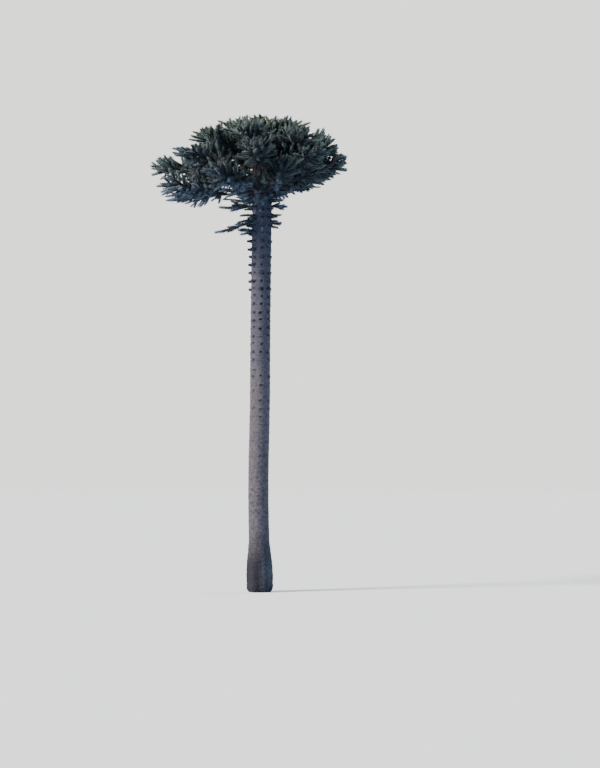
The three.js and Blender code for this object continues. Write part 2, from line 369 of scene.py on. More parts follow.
@dataclass(frozen=True)
class Envelope:
    """The crown's outline: the heights of its top and its underside at shares of its reach, on each side.

    Attributes:
        left: the reach on the left, and right that on the right.
        over_left: the top's height at shares of the reach on the left, and over_right that on the right.
        under_left: the underside's height in the same way, and under_right that on the right.
        lowest: one corner of the box that the whole crown stays inside.
        highest: the other corner.
        lift_behind: how much the underside rises for each metre behind the trunk.
        sink_before: how much the top sinks for each metre before the trunk.
        sink_cluster: how much more it sinks over the cluster at the left.
        cluster: the shares of the reach between which that cluster starts.
        cleft_height: the height of the cleft that parts the cluster, over the trunk's middle.
        cleft_slope: how much it rises for each metre behind the trunk.
        cleft_tall: half its height.
        cleft_from: the share of the reach where it starts.
        cleft_side: how far round from the left it goes, with 1 at the right.
        slack_aside: the share of a tail's slack that it may use sideways.
    """

    left: float = 7.0
    right: float = 5.5
    over_left: Profile = (
        (0, 30.2), (0.05, 29.8), (0.2, 29.65), (0.34, 29.2), (0.48, 28.95), (0.6, 28.55), (0.69, 28.15),
        (0.7, 27.1), (0.74, 26.85), (0.84, 27.2), (1, 27.1),
    )
    over_right: Profile = (
        (0, 30.2), (0.05, 29.8), (0.3, 29.4), (0.48, 29.3), (0.62, 29.35), (0.73, 29.05), (0.81, 28.5),
        (0.91, 27.75), (1, 27.1),
    )
    under_left: Profile = (
        (0.2, 24.9), (0.4, 24.7), (0.56, 24.6), (0.7, 24.4), (0.8, 24.4), (0.93, 24.5), (0.96, 25.4),
        (1, 26.2),
    )
    under_right: Profile = (
        (0.2, 24.6), (0.34, 25.15), (0.47, 25.4), (0.62, 25.55), (0.72, 25.6), (0.84, 26.2), (1, 26.6),
    )
    lowest: Axes = (-6.91, -6.22, 0)
    highest: Axes = (5.48, 6.13, 29.9)
    lift_behind: float = 0.14
    sink_before: float = 0.03
    sink_cluster: float = 0.07
    cluster: tuple[float, float] = (0.66, 0.82)
    cleft_height: float = 25.76
    cleft_slope: float = 0.19
    cleft_tall: float = 0.1
    cleft_from: float = 0.72
    cleft_side: float = 0.16
    slack_aside: float = 0.4

    def holds(self, points: Array, slack: float) -> Array:
        """Tells which points lie inside the outline.

        Args:
            points: one row for each point.
            slack: how far outside they may lie.

        Returns:
            True or False for each point.
        """
        x, y, z = points.T
        radius = np.hypot(x, y)
        right = (1 + x / np.maximum(radius, TINY)) / 2
        share = (radius - self.slack_aside * slack) / lerp(self.left, self.right, right)

        def between(*sides: Profile) -> Array:
            """Returns the height between the left side's profile and the right side's."""
            return lerp(*(np.interp(share, *np.array(side).T) for side in sides), right)

        sink = self.sink_before + self.sink_cluster * (1 - right) * smoothstep(share, *self.cluster)
        over = between(self.over_left, self.over_right) - sink * np.maximum(0, -y)
        under = between(self.under_left, self.under_right) + self.lift_behind * np.maximum(0, y)
        cleft = np.abs(z - (self.cleft_height + self.cleft_slope * y)) < self.cleft_tall
        cleft &= (share > self.cleft_from) & (right < self.cleft_side)
        boxed = ((points > self.lowest) & (points < self.highest)).all(axis=1)
        return boxed & (share < 1) & (z < over + slack) & (z > under - slack) & ~cleft


class Age(Enum):
    """Where a tail stands in its spray."""

    MAIN = "main"
    SIDE = "side"
    INNER = "inner"
    HANGING = "hanging"


@dataclass
class Tail:
    """A rope-like branchlet: the curve of its twig and the radius over its leaves."""

    path: Path
    radius: float
    age: Age = Age.MAIN

    @property
    def outer(self) -> Array:
        """Returns points along its outer two thirds."""
        return self.path.at(SHARES[2:])


@dataclass
class Sprout:
    """A tail before its length is settled: its start, its directions there and at the tip, and its length."""

    start: Array
    leave: Array
    arrive: Array
    length: float

    BEND: ClassVar[float] = 0.45

    def path(self) -> Path:
        """Returns the curve of its twig, which bends from the one direction into the other."""
        turning = self.start + self.leave * self.length * self.BEND
        return Path(self.start, turning, turning + self.arrive * self.length * (1 - self.BEND))


@dataclass
class Spray:
    """One mass of foliage: its stem, the bare limb that carries it, and the numbers of its rule."""

    node: str
    whorl: str
    stem: Path
    limb: Path | None = None
    thick: float = 0
    tails: int = 0
    hang: int = 0
    first_tail: float = 0
    end_tail: float = 0
    tail_length: float = 0
    seed: int = 0
    grown: list[Tail] = field(default_factory=list)


@dataclass(frozen=True)
class Rule:
    """How one set of tails leaves its stem, with its angles in degrees.

    Attributes:
        count: how many tails the set has.
        low: the share of the stem where the first one leaves.
        high: the share of the stem where the last one leaves.
        turn_loose: how far the azimuth round the stem strays, from end to end.
        spread: the angle between the stem and a tail.
        spread_loose: the share by which that angle strays.
        longest: a tail's length where there is room.
        length_loose: the share by which that length strays.
        rows: the azimuths that the tails take in turn, with 0 level to one side, or none for a spiral.
        at_root: what the length is multiplied by at the stem's root.
        at_tip: what the length is multiplied by at the stem's tip.
        ahead: how strongly the tip turns to where the stem ends.
        to_light: how strongly the tip turns away from the crown's heart.
        droop: how strongly the tip turns down.
        thick: the radius over the leaves, as a share of the usual one.
        age: where the tails stand in their spray.
    """

    count: int
    low: float
    high: float
    turn_loose: float
    spread: float
    spread_loose: float
    longest: float
    length_loose: float
    rows: tuple[float, ...] = ()
    at_root: float = 1
    at_tip: float = 1
    ahead: float = 0
    to_light: float = 0
    droop: float = 0
    thick: float = 1
    age: Age = Age.SIDE

    def turn(self, number: int) -> float:
        """Returns the mean azimuth of a tail by its number, in degrees."""
        return self.rows[number % len(self.rows)] if self.rows else number * GOLDEN_ANGLE


@dataclass(frozen=True)
class Bundle:
    """Leafy shoots that stand on a stretch of the bare trunk itself.

    Attributes:
        whorl: the ring whose pieces they are joined into.
        seed: the seed of their leaves.
        low: the height where they start.
        high: the height where they end.
        count: how many leave the trunk in a spiral.
        shortest: their length at the low end.
        longest: their length at the high end.
        lift: how strongly their tips rise, or sink where it is below 0.
        thick: the radius over the leaves, as a share of the usual one.
        twigs: the azimuth, height, length and rise of each shoot that has a place of its own.
    """

    whorl: str
    seed: int
    low: float
    high: float
    count: int
    shortest: float
    longest: float
    lift: float
    thick: float
    twigs: tuple[tuple[float, float, float, float], ...] = ()


BUNDLES = (
    Bundle("shoots", 60, 22.8, 24.9, 34, 0.48, 0.75, -0.28, 0.95, (
        (178, 23.6, 0.8, -0.12), (186, 23.3, 1.0, -0.3), (170, 22.5, 0.8, -0.2), (4, 23.45, 0.42, 0.1),
        (350, 24.42, 0.8, 0.05), (10, 24.7, 0.95, 0.2),
    )),
    Bundle("crest", 61, 24.9, 28.3, 60, 1.15, 1.15, 0.35, 0.8),
)


@dataclass(frozen=True)
class Growth:
    """The seeded rule of the sprays, carried on from the solids to finer twigs.

    Where a rule's count or length is 0, each spray gives its own.
    """

    bole: Bole
    envelope: Envelope = Envelope()
    # Seeds
    whorl_seed: int = 11
    spray_seed: int = 100
    finer_seed: int = 700
    trunk_seed: int = 3
    # A bough: where it starts in the trunk, how its plan strays, and where its stem ends
    gap: float = 0.0003
    limb_root: float = 0.5
    turn_loose: float = 7
    reach_loose: float = 0.03
    rise_loose: float = 0.16
    height_loose: float = 0.24
    stem_short: float = 0.85
    stem_rise: float = 0.78
    # The tails that the solids show, with first_tail a share of the stem
    first_tail: float = 0.12
    first_on_trunk: float = 0.4
    tail: float = 1.38
    tail_radius: float = 0.14
    leafy: float = 0.122
    light_upward: float = 1.6
    end_lift: float = 0.25
    main: Rule = Rule(
        count=0, low=0, high=0.9, turn_loose=56, spread=56, spread_loose=0.25, longest=0, length_loose=0.16,
        rows=(10, 170, 62, 118), at_root=1.12, at_tip=0.9, to_light=0.8, age=Age.MAIN,
    )
    hanging_length: float = 0.72
    hanging_thick: float = 0.8
    hanging_droop: float = 0.9
    trials: int = 3
    shorter: float = 0.78
    tests: tuple[float, ...] = (0.12, 0.3, 0.5, 0.65, 0.82, 1)
    spacing: float = 0.008
    spaced_from: float = 0.5
    # The leader and the shoots under the crown
    leader_tip: Axes = (0.04, 0, 0.65)
    shoot_root: float = 0.8
    shoot_stem: float = 0.55
    shoot_rise: float = 0.6
    shoot_arch: float = 0.04
    shoot_tail: float = 0.82
    shoot_twigs: Rule = Rule(
        count=0, low=0.25, high=0.85, turn_loose=90, spread=34, spread_loose=0.25, longest=0.68,
        length_loose=0.2, rows=(0, 180), at_root=1.15, at_tip=0.75, ahead=0.5, thick=0.9,
    )
    # The finer tails
    side: Rule = Rule(
        count=5, low=0.1, high=0.76, turn_loose=110, spread=48, spread_loose=0.25, longest=0.82,
        length_loose=0.15, rows=(25, 155), at_tip=0.66, ahead=0.45, to_light=0.35, thick=0.95,
    )
    hanging_twigs: int = 2
    hanging_twig_length: float = 0.6
    fan: Rule = Rule(
        count=7, low=0.8, high=0.97, turn_loose=40, spread=32, spread_loose=0.3, longest=1.6,
        length_loose=0.1, rows=tuple(360 / 7 * k for k in range(7)), ahead=0.5,
    )
    low_fan: Rule = replace(fan, longest=1.4 * fan.longest, droop=0.6)
    inner: Rule = Rule(
        count=26, low=0.04, high=0.97, turn_loose=math.degrees(0.6), spread=62, spread_loose=0.2,
        longest=0.95, length_loose=0.15, to_light=0.6, thick=0.85, age=Age.INNER,
    )
    long: Rule = replace(inner, count=12, low=0.3, longest=1.6)
    on_limb: Rule = replace(inner, count=14, low=0.3)
    stem_thick: float = 0.9
    # How the finer tails are fitted into the crown's outline
    finer_trials: int = 5
    finer_shorter: float = 0.84
    room: float = 0.06
    slack: float = 0.02
    ragged: float = 0.34
    luck_factor: float = 97
    hanging_slack: float = 0.3
    # The tails on the trunk itself
    trunk_root: float = 0.92
    trunk_height_loose: float = 0.1
    trunk_turn_loose: float = 0.5
    trunk_length_loose: float = 0.22
    trunk_thick_loose: float = 0.1
    trunk_leave_loose: float = 0.5
    trunk_arrive_loose: float = 0.4
    trunk_tests: tuple[float, ...] = (0.5, 0.8, 1)
    twig_leave: float = 0.2

    def sprays(self) -> list[Spray]:
        """Plans every mass of the tree, in the order of the solids.

        Returns:
            The sprays of the whorls, the leader, the shoots and the trunk's own, with their tails grown.
        """
        planned = []
        for seed, whorl in enumerate(WHORLS, self.whorl_seed):
            draw = Draw(seed)
            planned += [self.bough(whorl, number, draw) for number in range(whorl.count)]
        planned += [self.leader(), *(self.shoot(shoot) for shoot in SHOOTS)]
        room = Room(self.bole, planned)
        for number, spray in enumerate(planned):
            spray.seed = self.spray_seed + number
            spray.grown = self.main_tails(spray, number, room)
            self.finer_tails(spray, room)
        draw = Draw(self.trunk_seed)
        return planned + [self.trunk_tails(bundle, draw, room) for bundle in BUNDLES]

    def bough(self, whorl: Whorl, number: int, draw: Draw) -> Spray:
        """Plans one bough of a whorl with the mass that it ends in.

        Args:
            whorl: the ring that it belongs to.
            number: its place in the ring, from 0.
            draw: the ring's draws.

        Returns:
            The spray, with no tails yet.
        """
        out = level(math.radians(whorl.turn + 360 / whorl.count * number + draw.within(self.turn_loose)))
        reach = draw.about(whorl.reach, self.reach_loose) - whorl.lean * out[0]
        rise = whorl.rise + whorl.rise_right * out[0] + draw.within(self.rise_loose)
        height = whorl.height + draw.within(self.height_loose)
        root = self.bole.at(height, out, self.limb_root)
        outer = out * (reach - self.stem_short * self.tail)
        end = self.bole.heart(height)[0] + outer + UP * self.stem_rise * rise
        slope = unit(out + UP * whorl.leave)
        path = Path(root, root + slope * np.linalg.norm(end - root) / 2, end)
        limb = path.stretch(0, whorl.bare) if whorl.bare else None
        stem = path.stretch(whorl.bare, 1)
        if limb:
            stem.start = stem.start + stem.along(0)[0] * self.gap
        return Spray(
            f"foliage_{whorl.name}_{number + 1}", whorl.name, stem, limb, whorl.thick, whorl.tails,
            whorl.hang, self.first_tail if limb else self.first_on_trunk, self.tail, self.tail,
        )

    def leader(self) -> Spray:
        """Plans the leafy top of the trunk."""
        foot = self.bole.heart(self.bole.top)[0] + UP * self.gap
        stem = Path(foot, foot + UP * self.leader_tip[2] / 2, foot + np.array(self.leader_tip))
        return Spray("leader", "crest", stem, tails=8, first_tail=0.3, end_tail=0.72, tail_length=1.05)

    def shoot(self, shoot: Shoot) -> Spray:
        """Plans one young shoot on the trunk.

        Args:
            shoot: its sizes.

        Returns:
            The spray, with no tails yet.
        """
        out = level(math.radians(shoot.turn))
        root = self.bole.at(shoot.height, out, self.shoot_root)
        tip = self.bole.at(shoot.height, out, 1, self.shoot_stem * shoot.length)
        tip = tip + UP * self.shoot_rise * shoot.rise
        stem = Path(root, (root + tip) / 2 + UP * self.shoot_arch, tip)
        half = shoot.length / 2
        return Spray(
            f"shoot_{shoot.name}", "shoots", stem, tails=shoot.tails, first_tail=0.55, end_tail=half,
            tail_length=min(self.shoot_tail, half),
        )

    def towards_light(self, point: Array) -> Array:
        """Returns the direction away from the crown's heart."""
        return unit(np.array((point[0], point[1], self.light_upward * (point[2] - CROWN_HEART))))

    def outwards(self, stem: Path, share: float, turn: float, spread: float) -> tuple[Array, Array]:
        """Finds where a twig leaves its stem, and in which direction.

        Args:
            stem: the curve that carries the twig.
            share: the share of it where the twig leaves.
            turn: the angle round the stem, with 0 level to one side and a quarter turn above.
            spread: the angle between the stem and the twig.

        Returns:
            The start and the direction.
        """
        along = stem.along(share)[0]
        flat = np.cross(UP, along)
        aside = unit(flat) if np.linalg.norm(flat) > TINY else np.array((0.0, 1.0, 0.0))
        lift = np.cross(along, aside)
        out = aside * math.cos(turn) + lift * math.sin(turn)
        return stem.at(share)[0], along * math.cos(spread) + out * math.sin(spread)

    def sprout(self, stem: Path, rule: Rule, number: int, draw: Draw, scale: float = 1) -> Sprout:
        """Starts one tail of a set.

        Args:
            stem: the curve that carries it.
            rule: the set's rule.
            number: its place in the set, from 0.
            draw: the mass's draws.
            scale: what its length is multiplied by.

        Returns:
            The tail, before its length is settled.
        """
        share = lerp(rule.low, rule.high, number / (rule.count - 1))
        turn = math.radians(rule.turn(number) + draw.within(rule.turn_loose))
        spread = math.radians(draw.about(rule.spread, rule.spread_loose))
        start, leave = self.outwards(stem, share, turn, spread)
        light = rule.to_light * self.towards_light(start)
        arrive = unit(leave + rule.ahead * stem.along(1)[0] + light - rule.droop * UP)
        length = scale * draw.about(rule.longest, rule.length_loose) * lerp(rule.at_root, rule.at_tip, share)
        return Sprout(start, leave, arrive, length)

    def main_tails(self, spray: Spray, number: int, room: "Room") -> list[Tail]:
        """Grows the tails that the solids show: in rows to both sides of the stem and above it.

        Args:
            spray: the mass.
            number: its place among all masses.
            room: what the tails keep clear of.

        Returns:
            The tails, the one that the stem ends in first.
        """
        draw = Draw(spray.seed)
        start, last = spray.stem.at(self.main.high)[0], spray.stem.along(1)[0]
        ending = Sprout(start, last, unit(last + self.end_lift * UP), spray.end_tail)
        grown = [Tail(ending.path(), self.tail_radius)]
        main = replace(self.main, count=spray.tails, low=spray.first_tail, longest=spray.tail_length)
        hanging = replace(
            main, longest=self.hanging_length * main.longest, rows=(-90,), droop=self.hanging_droop,
            thick=self.hanging_thick, age=Age.HANGING,
        )
        for i in range(spray.tails):
            rule = hanging if spray.hang and i % spray.hang == 1 else main
            sprout = self.sprout(spray.stem, rule, i, draw)
            for _ in range(self.trials):
                tail = Tail(sprout.path(), rule.thick * self.tail_radius, rule.age)
                if self.fits(tail, number, grown, room):
                    grown.append(tail)
                    break
                sprout.length *= self.shorter
        return grown

    def fits(self, tail: Tail, number: int, grown: list[Tail], room: "Room") -> bool:
        """Tells whether a tail stays in its mass's space and clear of the tails that have grown already.

        Args:
            tail: the tail.
            number: the mass's place among all masses.
            grown: the mass's tails so far.
            room: what the tails keep clear of.

        Returns:
            Whether it does.
        """
        points = tail.path.at(np.array(self.tests))
        if not room.own(points, number, tail.radius + self.spacing):
            return False
        far = points[np.array(self.tests) >= self.spaced_from]
        return all(distances(far, t.outer).min() >= tail.radius + t.radius for t in grown)

    def finer_tails(self, spray: Spray, room: "Room") -> None:
        """Carries the rule on: side tails leave each main tail, and inner tails clothe the stem and the limb.

        Args:
            spray: the mass, whose list of tails grows.
            room: what the tails keep clear of.
        """
        draw = Draw(spray.seed + self.finer_seed)
        stem, grown = spray.stem, spray.grown
        if spray.whorl == "shoots":
            grown.append(Tail(stem, self.leafy, Age.SIDE))
            twigs = replace(self.shoot_twigs, count=2 * (spray.tails + 1))
            grown += self.set_of(stem, twigs, draw, None, min(1, stem.length()))
            return
        for tail in list(grown):
            tail.path = self.trimmed(tail)
            tail.radius = self.leafy
            grown += self.side_tails(tail, draw, room)
        grown += self.set_of(stem, self.low_fan if spray.hang else self.fan, draw, room)
        if spray.limb is None:
            grown.append(Tail(stem, self.stem_thick * self.leafy, Age.INNER))
        grown += self.set_of(stem, self.inner, draw, room)
        grown += self.set_of(stem, self.long, draw, room)
        if spray.limb:
            grown += self.set_of(spray.limb, self.on_limb, draw, room)

    def side_tails(self, tail: Tail, draw: Draw, room: "Room") -> list[Tail]:
        """Grows the side tails of one tail, fewer and shorter ones where it is short or hangs.

        Args:
            tail: the tail that carries them.
            draw: the mass's draws.
            room: what they keep clear of.

        Returns:
            The side tails that have room.
        """
        length = tail.path.length()
        most, scale = self.side.count, min(length, self.tail)
        if tail.age is Age.HANGING:
            most, scale = self.hanging_twigs, scale * self.hanging_twig_length
        rule = replace(self.side, count=max(2, round(most * min(1, length / self.tail))))
        return self.set_of(tail.path, rule, draw, room, scale)

    def set_of(self, stem: Path, rule: Rule, draw: Draw, room: "Room | None", scale: float = 1) -> list[Tail]:
        """Grows one set of finer tails.

        Args:
            stem: the curve that carries them.
            rule: the set's rule.
            draw: the mass's draws.
            room: what they keep clear of, or nothing where they stand free.
            scale: what their lengths are multiplied by.

        Returns:
            The tails that have room.
        """
        sprouts = (self.sprout(stem, rule, number, draw, scale) for number in range(rule.count))
        settled = [sprout for sprout in sprouts if room is None or self.settled(sprout, room)]
        return [Tail(sprout.path(), rule.thick * self.leafy, rule.age) for sprout in settled]

    def settled(self, sprout: Sprout, room: "Room") -> bool:
        """Shortens a tail until it stays inside the crown's outline and clear of trunk and limbs.

        Args:
            sprout: the tail.
            room: what it keeps clear of.

        Returns:
            Whether it has room at all.
        """
        slack = self.uneven_slack(sprout.start)
        for _ in range(self.finer_trials):
            points = sprout.path().at(np.array(self.tests))
            if self.envelope.holds(points[-2:], slack).all() and room.clear(points[1:], self.room):
                return True
            sprout.length *= self.finer_shorter
        return False

    def uneven_slack(self, start: Array) -> float:
        """Returns how far the tail from a point may pass the outline: most by little, a few by more."""
        luck = float(np.abs(start).sum()) * self.luck_factor % 1
        return self.slack + self.ragged * luck**2

    def trimmed(self, tail: Tail) -> Path:
        """Cuts a main tail back until its tip lies inside the crown's outline.

        Args:
            tail: the tail.

        Returns:
            The curve of its twig.
        """
        path = tail.path
        slack = self.hanging_slack if tail.age is Age.HANGING else self.uneven_slack(path.start)
        for _ in range(self.finer_trials):
            if self.envelope.holds(path.end[None], slack)[0]:
                break
            path = path.stretch(0, self.finer_shorter)
        return path

    def trunk_tails(self, bundle: Bundle, draw: Draw, room: "Room") -> Spray:
        """Grows leafy shoots on the bare trunk itself.

        Args:
            bundle: the numbers of their rule.
            draw: the trunk's draws.
            room: what they keep clear of.

        Returns:
            A spray that has no node of its own.
        """
        stem = Path(*self.bole.heart(np.linspace(bundle.low, bundle.high, 3)))
        spray = Spray("", bundle.whorl, stem, seed=bundle.seed)
        for number in range(bundle.count):
            share = number / (bundle.count - 1)
            height = lerp(bundle.low, bundle.high, share) + draw.within(self.trunk_height_loose)
            out = level(number * math.radians(GOLDEN_ANGLE) + draw.within(self.trunk_turn_loose))
            length = draw.about(lerp(bundle.shortest, bundle.longest, share), self.trunk_length_loose)
            leave = unit(out + UP * draw.within(self.trunk_leave_loose))
            arrive = unit(out + UP * (bundle.lift + draw.within(self.trunk_arrive_loose)))
            thick = draw.about(bundle.thick, self.trunk_thick_loose) * self.leafy
            path = Sprout(self.bole.at(height, out, self.trunk_root), leave, arrive, length).path()
            if room.beside(path.at(np.array(self.trunk_tests)), self.room):
                spray.grown.append(Tail(path, thick, Age.INNER))
        for turn, height, length, rise in bundle.twigs:
            out = level(math.radians(turn))
            leave, arrive = unit(out + UP * (self.twig_leave + rise)), unit(out + UP * rise)
            path = Sprout(self.bole.at(height, out, self.trunk_root), leave, arrive, length).path()
            spray.grown.append(Tail(path, self.leafy, Age.SIDE))
        return spray


def distances(points: Array, line: Array) -> Array:
    """Measures how far points lie from a line of straight steps.

    Args:
        points: one row for each point.
        line: the line's corners, one row each.

    Returns:
        The distances, one row for each point and one column for each step.
    """
    steps = np.diff(line, axis=0)
    reach = points[:, None, :] - line[None, :-1]
    share = np.clip((reach * steps).sum(-1) / (steps * steps).sum(-1), 0, 1)
    return np.linalg.norm(reach - share[..., None] * steps[None], axis=-1)


class Room:
    """The space that the tails keep to: clear of the trunk, of every limb and of the other masses."""

    def __init__(self, bole: Bole, sprays: list[Spray]) -> None:
        """Samples every stem and limb.

        Args:
            bole: the trunk.
            sprays: every mass of the tree.
        """
        self.bole = bole
        self.stems = [spray.stem.at(SHARES) for spray in sprays]
        self.limbs = [(spray.limb.at(SHARES), spray.thick) for spray in sprays if spray.limb]

    def clear(self, points: Array, room: float) -> bool:
        """Tells whether points keep clear of the trunk and the limbs.

        Args:
            points: one row for each point.
            room: the distance that they keep.

        Returns:
            Whether all of them do.
        """
        z = np.minimum(points[:, 2], self.bole.top)
        aside = np.linalg.norm((points - self.bole.heart(z))[:, :2], axis=1) - self.bole.radius(z)
        if not np.all((aside > room) | (points[:, 2] > self.bole.top + room)):
            return False
        return self.beside(points, room)

    def beside(self, points: Array, room: float) -> bool:
        """Tells whether points keep a distance from the limbs."""
        return all(distances(points, line).min() > thick + room for line, thick in self.limbs)

    def own(self, points: Array, number: int, room: float) -> bool:
        """Tells whether points are clear, and nearer to their own stem than to any other.

        Args:
            points: one row for each point.
            number: the place of their own stem among all stems.
            room: the distance that they keep.

        Returns:
            Whether all of them are.
        """
        if not self.clear(points, room):
            return False
        nearest = np.array([distances(points, line).min(axis=1) for line in self.stems])
        others = np.delete(nearest, number, axis=0) - nearest[number]
        return bool(np.all(others > 2 * room))


# Shapes
def deselect() -> None:
    """Leaves nothing selected, so that an operator acts on new pieces only."""
    bpy.ops.object.select_all(action="DESELECT")
    bpy.context.view_layer.objects.active = None


def take(piece: Object) -> None:
    """Selects one piece alone and makes it active."""
    deselect()
    piece.select_set(True)
    bpy.context.view_layer.objects.active = piece


def drawn_up(name: str, rings: list[tuple[Array, float]], sides: int, smoothing: int) -> Object:
    """Draws a ring up through a row of places and widths, as a turned or grown rod is modelled by hand.

    Args:
        name: the new object's name.
        rings: the middle and the radius of each ring, from the foot up.
        sides: the corners of a ring.
        smoothing: the levels of subdivision that are applied, or 0.

    Returns:
        A closed mesh object with its faces pointing out.
    """
    deselect()
    foot, width = rings[0]
    bpy.ops.mesh.primitive_circle_add(vertices=sides, radius=width, location=tuple(foot))
    rod = bpy.context.active_object
    rod.name = rod.data.name = name
    bpy.ops.object.transform_apply(location=True, rotation=True, scale=True)
    bpy.ops.object.mode_set(mode="EDIT")
    bpy.ops.mesh.select_all(action="SELECT")
    for (low, before), (high, after) in pairwise(rings):
        bpy.ops.mesh.extrude_region_move(TRANSFORM_OT_translate={"value": tuple(high - low)})
        grow = after / before
        bpy.ops.transform.resize(value=(grow, grow, 1), center_override=tuple(high))
    bpy.ops.mesh.edge_face_add()
    bpy.ops.object.mode_set(mode="OBJECT")
    if smoothing:
        rounding = rod.modifiers.new("rounding", "SUBSURF")
        rounding.levels = rounding.render_levels = smoothing
        bpy.ops.object.modifier_apply(modifier=rounding.name)
    bpy.ops.object.mode_set(mode="EDIT")
    bpy.ops.mesh.select_mode(type="EDGE")
    bpy.ops.mesh.select_all(action="DESELECT")
    bpy.ops.mesh.select_non_manifold()
    bpy.ops.mesh.edge_face_add()
    bpy.ops.mesh.select_all(action="SELECT")
    bpy.ops.mesh.normals_make_consistent(inside=False)
    bpy.ops.object.mode_set(mode="OBJECT")
    return rod


def smooth(piece: Object, sharp_from: float) -> None:
    """Shades a piece smooth but for its edges that are sharper than an angle in degrees."""
    take(piece)
    bpy.ops.object.shade_smooth_by_angle(angle=math.radians(sharp_from))


def noises(places: Array) -> Array:
    """Returns a smooth noise about 0, one value for each place."""
    return np.array([noise.noise(Vector(place)) for place in places])


def points_of(mesh: Mesh) -> Array:
    """Returns a mesh's points, one row each."""
    flat = np.empty(len(mesh.vertices) * 3)
    mesh.vertices.foreach_get("co", flat)
    return flat.reshape(-1, 3)


def move_points(mesh: Mesh, points: Array) -> None:
    """Puts a mesh's points at new places."""
    mesh.vertices.foreach_set("co", points.ravel())
    mesh.update()


def paint(mesh: Mesh, name: str, values: Array) -> None:
    """Stores four values at each point, for the finish to read.

    Args:
        mesh: the mesh.
        name: the attribute's name.
        values: one row of four for each point.
    """
    layer = mesh.attributes.new(name, "FLOAT_COLOR", "POINT")
    layer.data.foreach_set("color", np.ascontiguousarray(values, dtype=np.float32).ravel())


@dataclass
class Pattern:
    """A small shape that is modelled once and then placed many times: its points and its triangles."""

    points: Array
    faces: Array

    @classmethod
    def taken_from(cls, model: Object) -> "Pattern":
        """Reads a modelled object, and removes it.

        Args:
            model: the object.

        Returns:
            The pattern.
        """
        take(model)
        bpy.ops.object.mode_set(mode="EDIT")
        bpy.ops.mesh.select_all(action="SELECT")
        bpy.ops.mesh.quads_convert_to_tris()
        bpy.ops.object.mode_set(mode="OBJECT")
        points = points_of(model.data)
        faces = np.array([polygon.vertices[:] for polygon in model.data.polygons])
        bpy.data.meshes.remove(model.data)
        return cls(points, faces)


@dataclass
class Batch:
    """Copies of patterns that are joined into one piece."""

    points: list[Array] = field(default_factory=list)
    faces: list[Array] = field(default_factory=list)
    tints: list[Array] = field(default_factory=list)
    corners: int = 0
    triangles: int = 0

    def add(self, points: Array, faces: Array, tints: Array | int) -> None:
        """Adds one copy, or many at once.

        Args:
            points: the copies' points, one row each.
            faces: their triangles.
            tints: the number of the finish for each triangle, or one for all.
        """
        self.points.append(points)
        self.faces.append(faces + self.corners)
        self.tints.append(np.broadcast_to(tints, len(faces)))
        self.corners += len(points)
        self.triangles += len(faces)

    def piece(self, name: str, materials: list[Material]) -> Object:
        """Makes the joined piece.

        Args:
            name: its name.
            materials: its finishes, in the order of the tints' numbers.

        Returns:
            The object.
        """
        points = np.concatenate(self.points)
        faces = np.concatenate(self.faces)
        mesh = bpy.data.meshes.new(name)
        mesh.vertices.add(len(points))
        mesh.vertices.foreach_set("co", points.ravel())
        mesh.loops.add(faces.size)
        mesh.loops.foreach_set("vertex_index", faces.ravel())
        mesh.polygons.add(len(faces))
        mesh.polygons.foreach_set("loop_start", np.arange(0, faces.size, 3))
        for material in materials:
            mesh.materials.append(material)
        mesh.polygons.foreach_set("material_index", np.concatenate(self.tints).astype(np.int32))
        mesh.update()
        mesh.validate()
        piece = bpy.data.objects.new(name, mesh)
        bpy.context.collection.objects.link(piece)
        return piece


# Finishes
FLOAT = "NodeSocketFloat"
COLOUR = "NodeSocketColor"


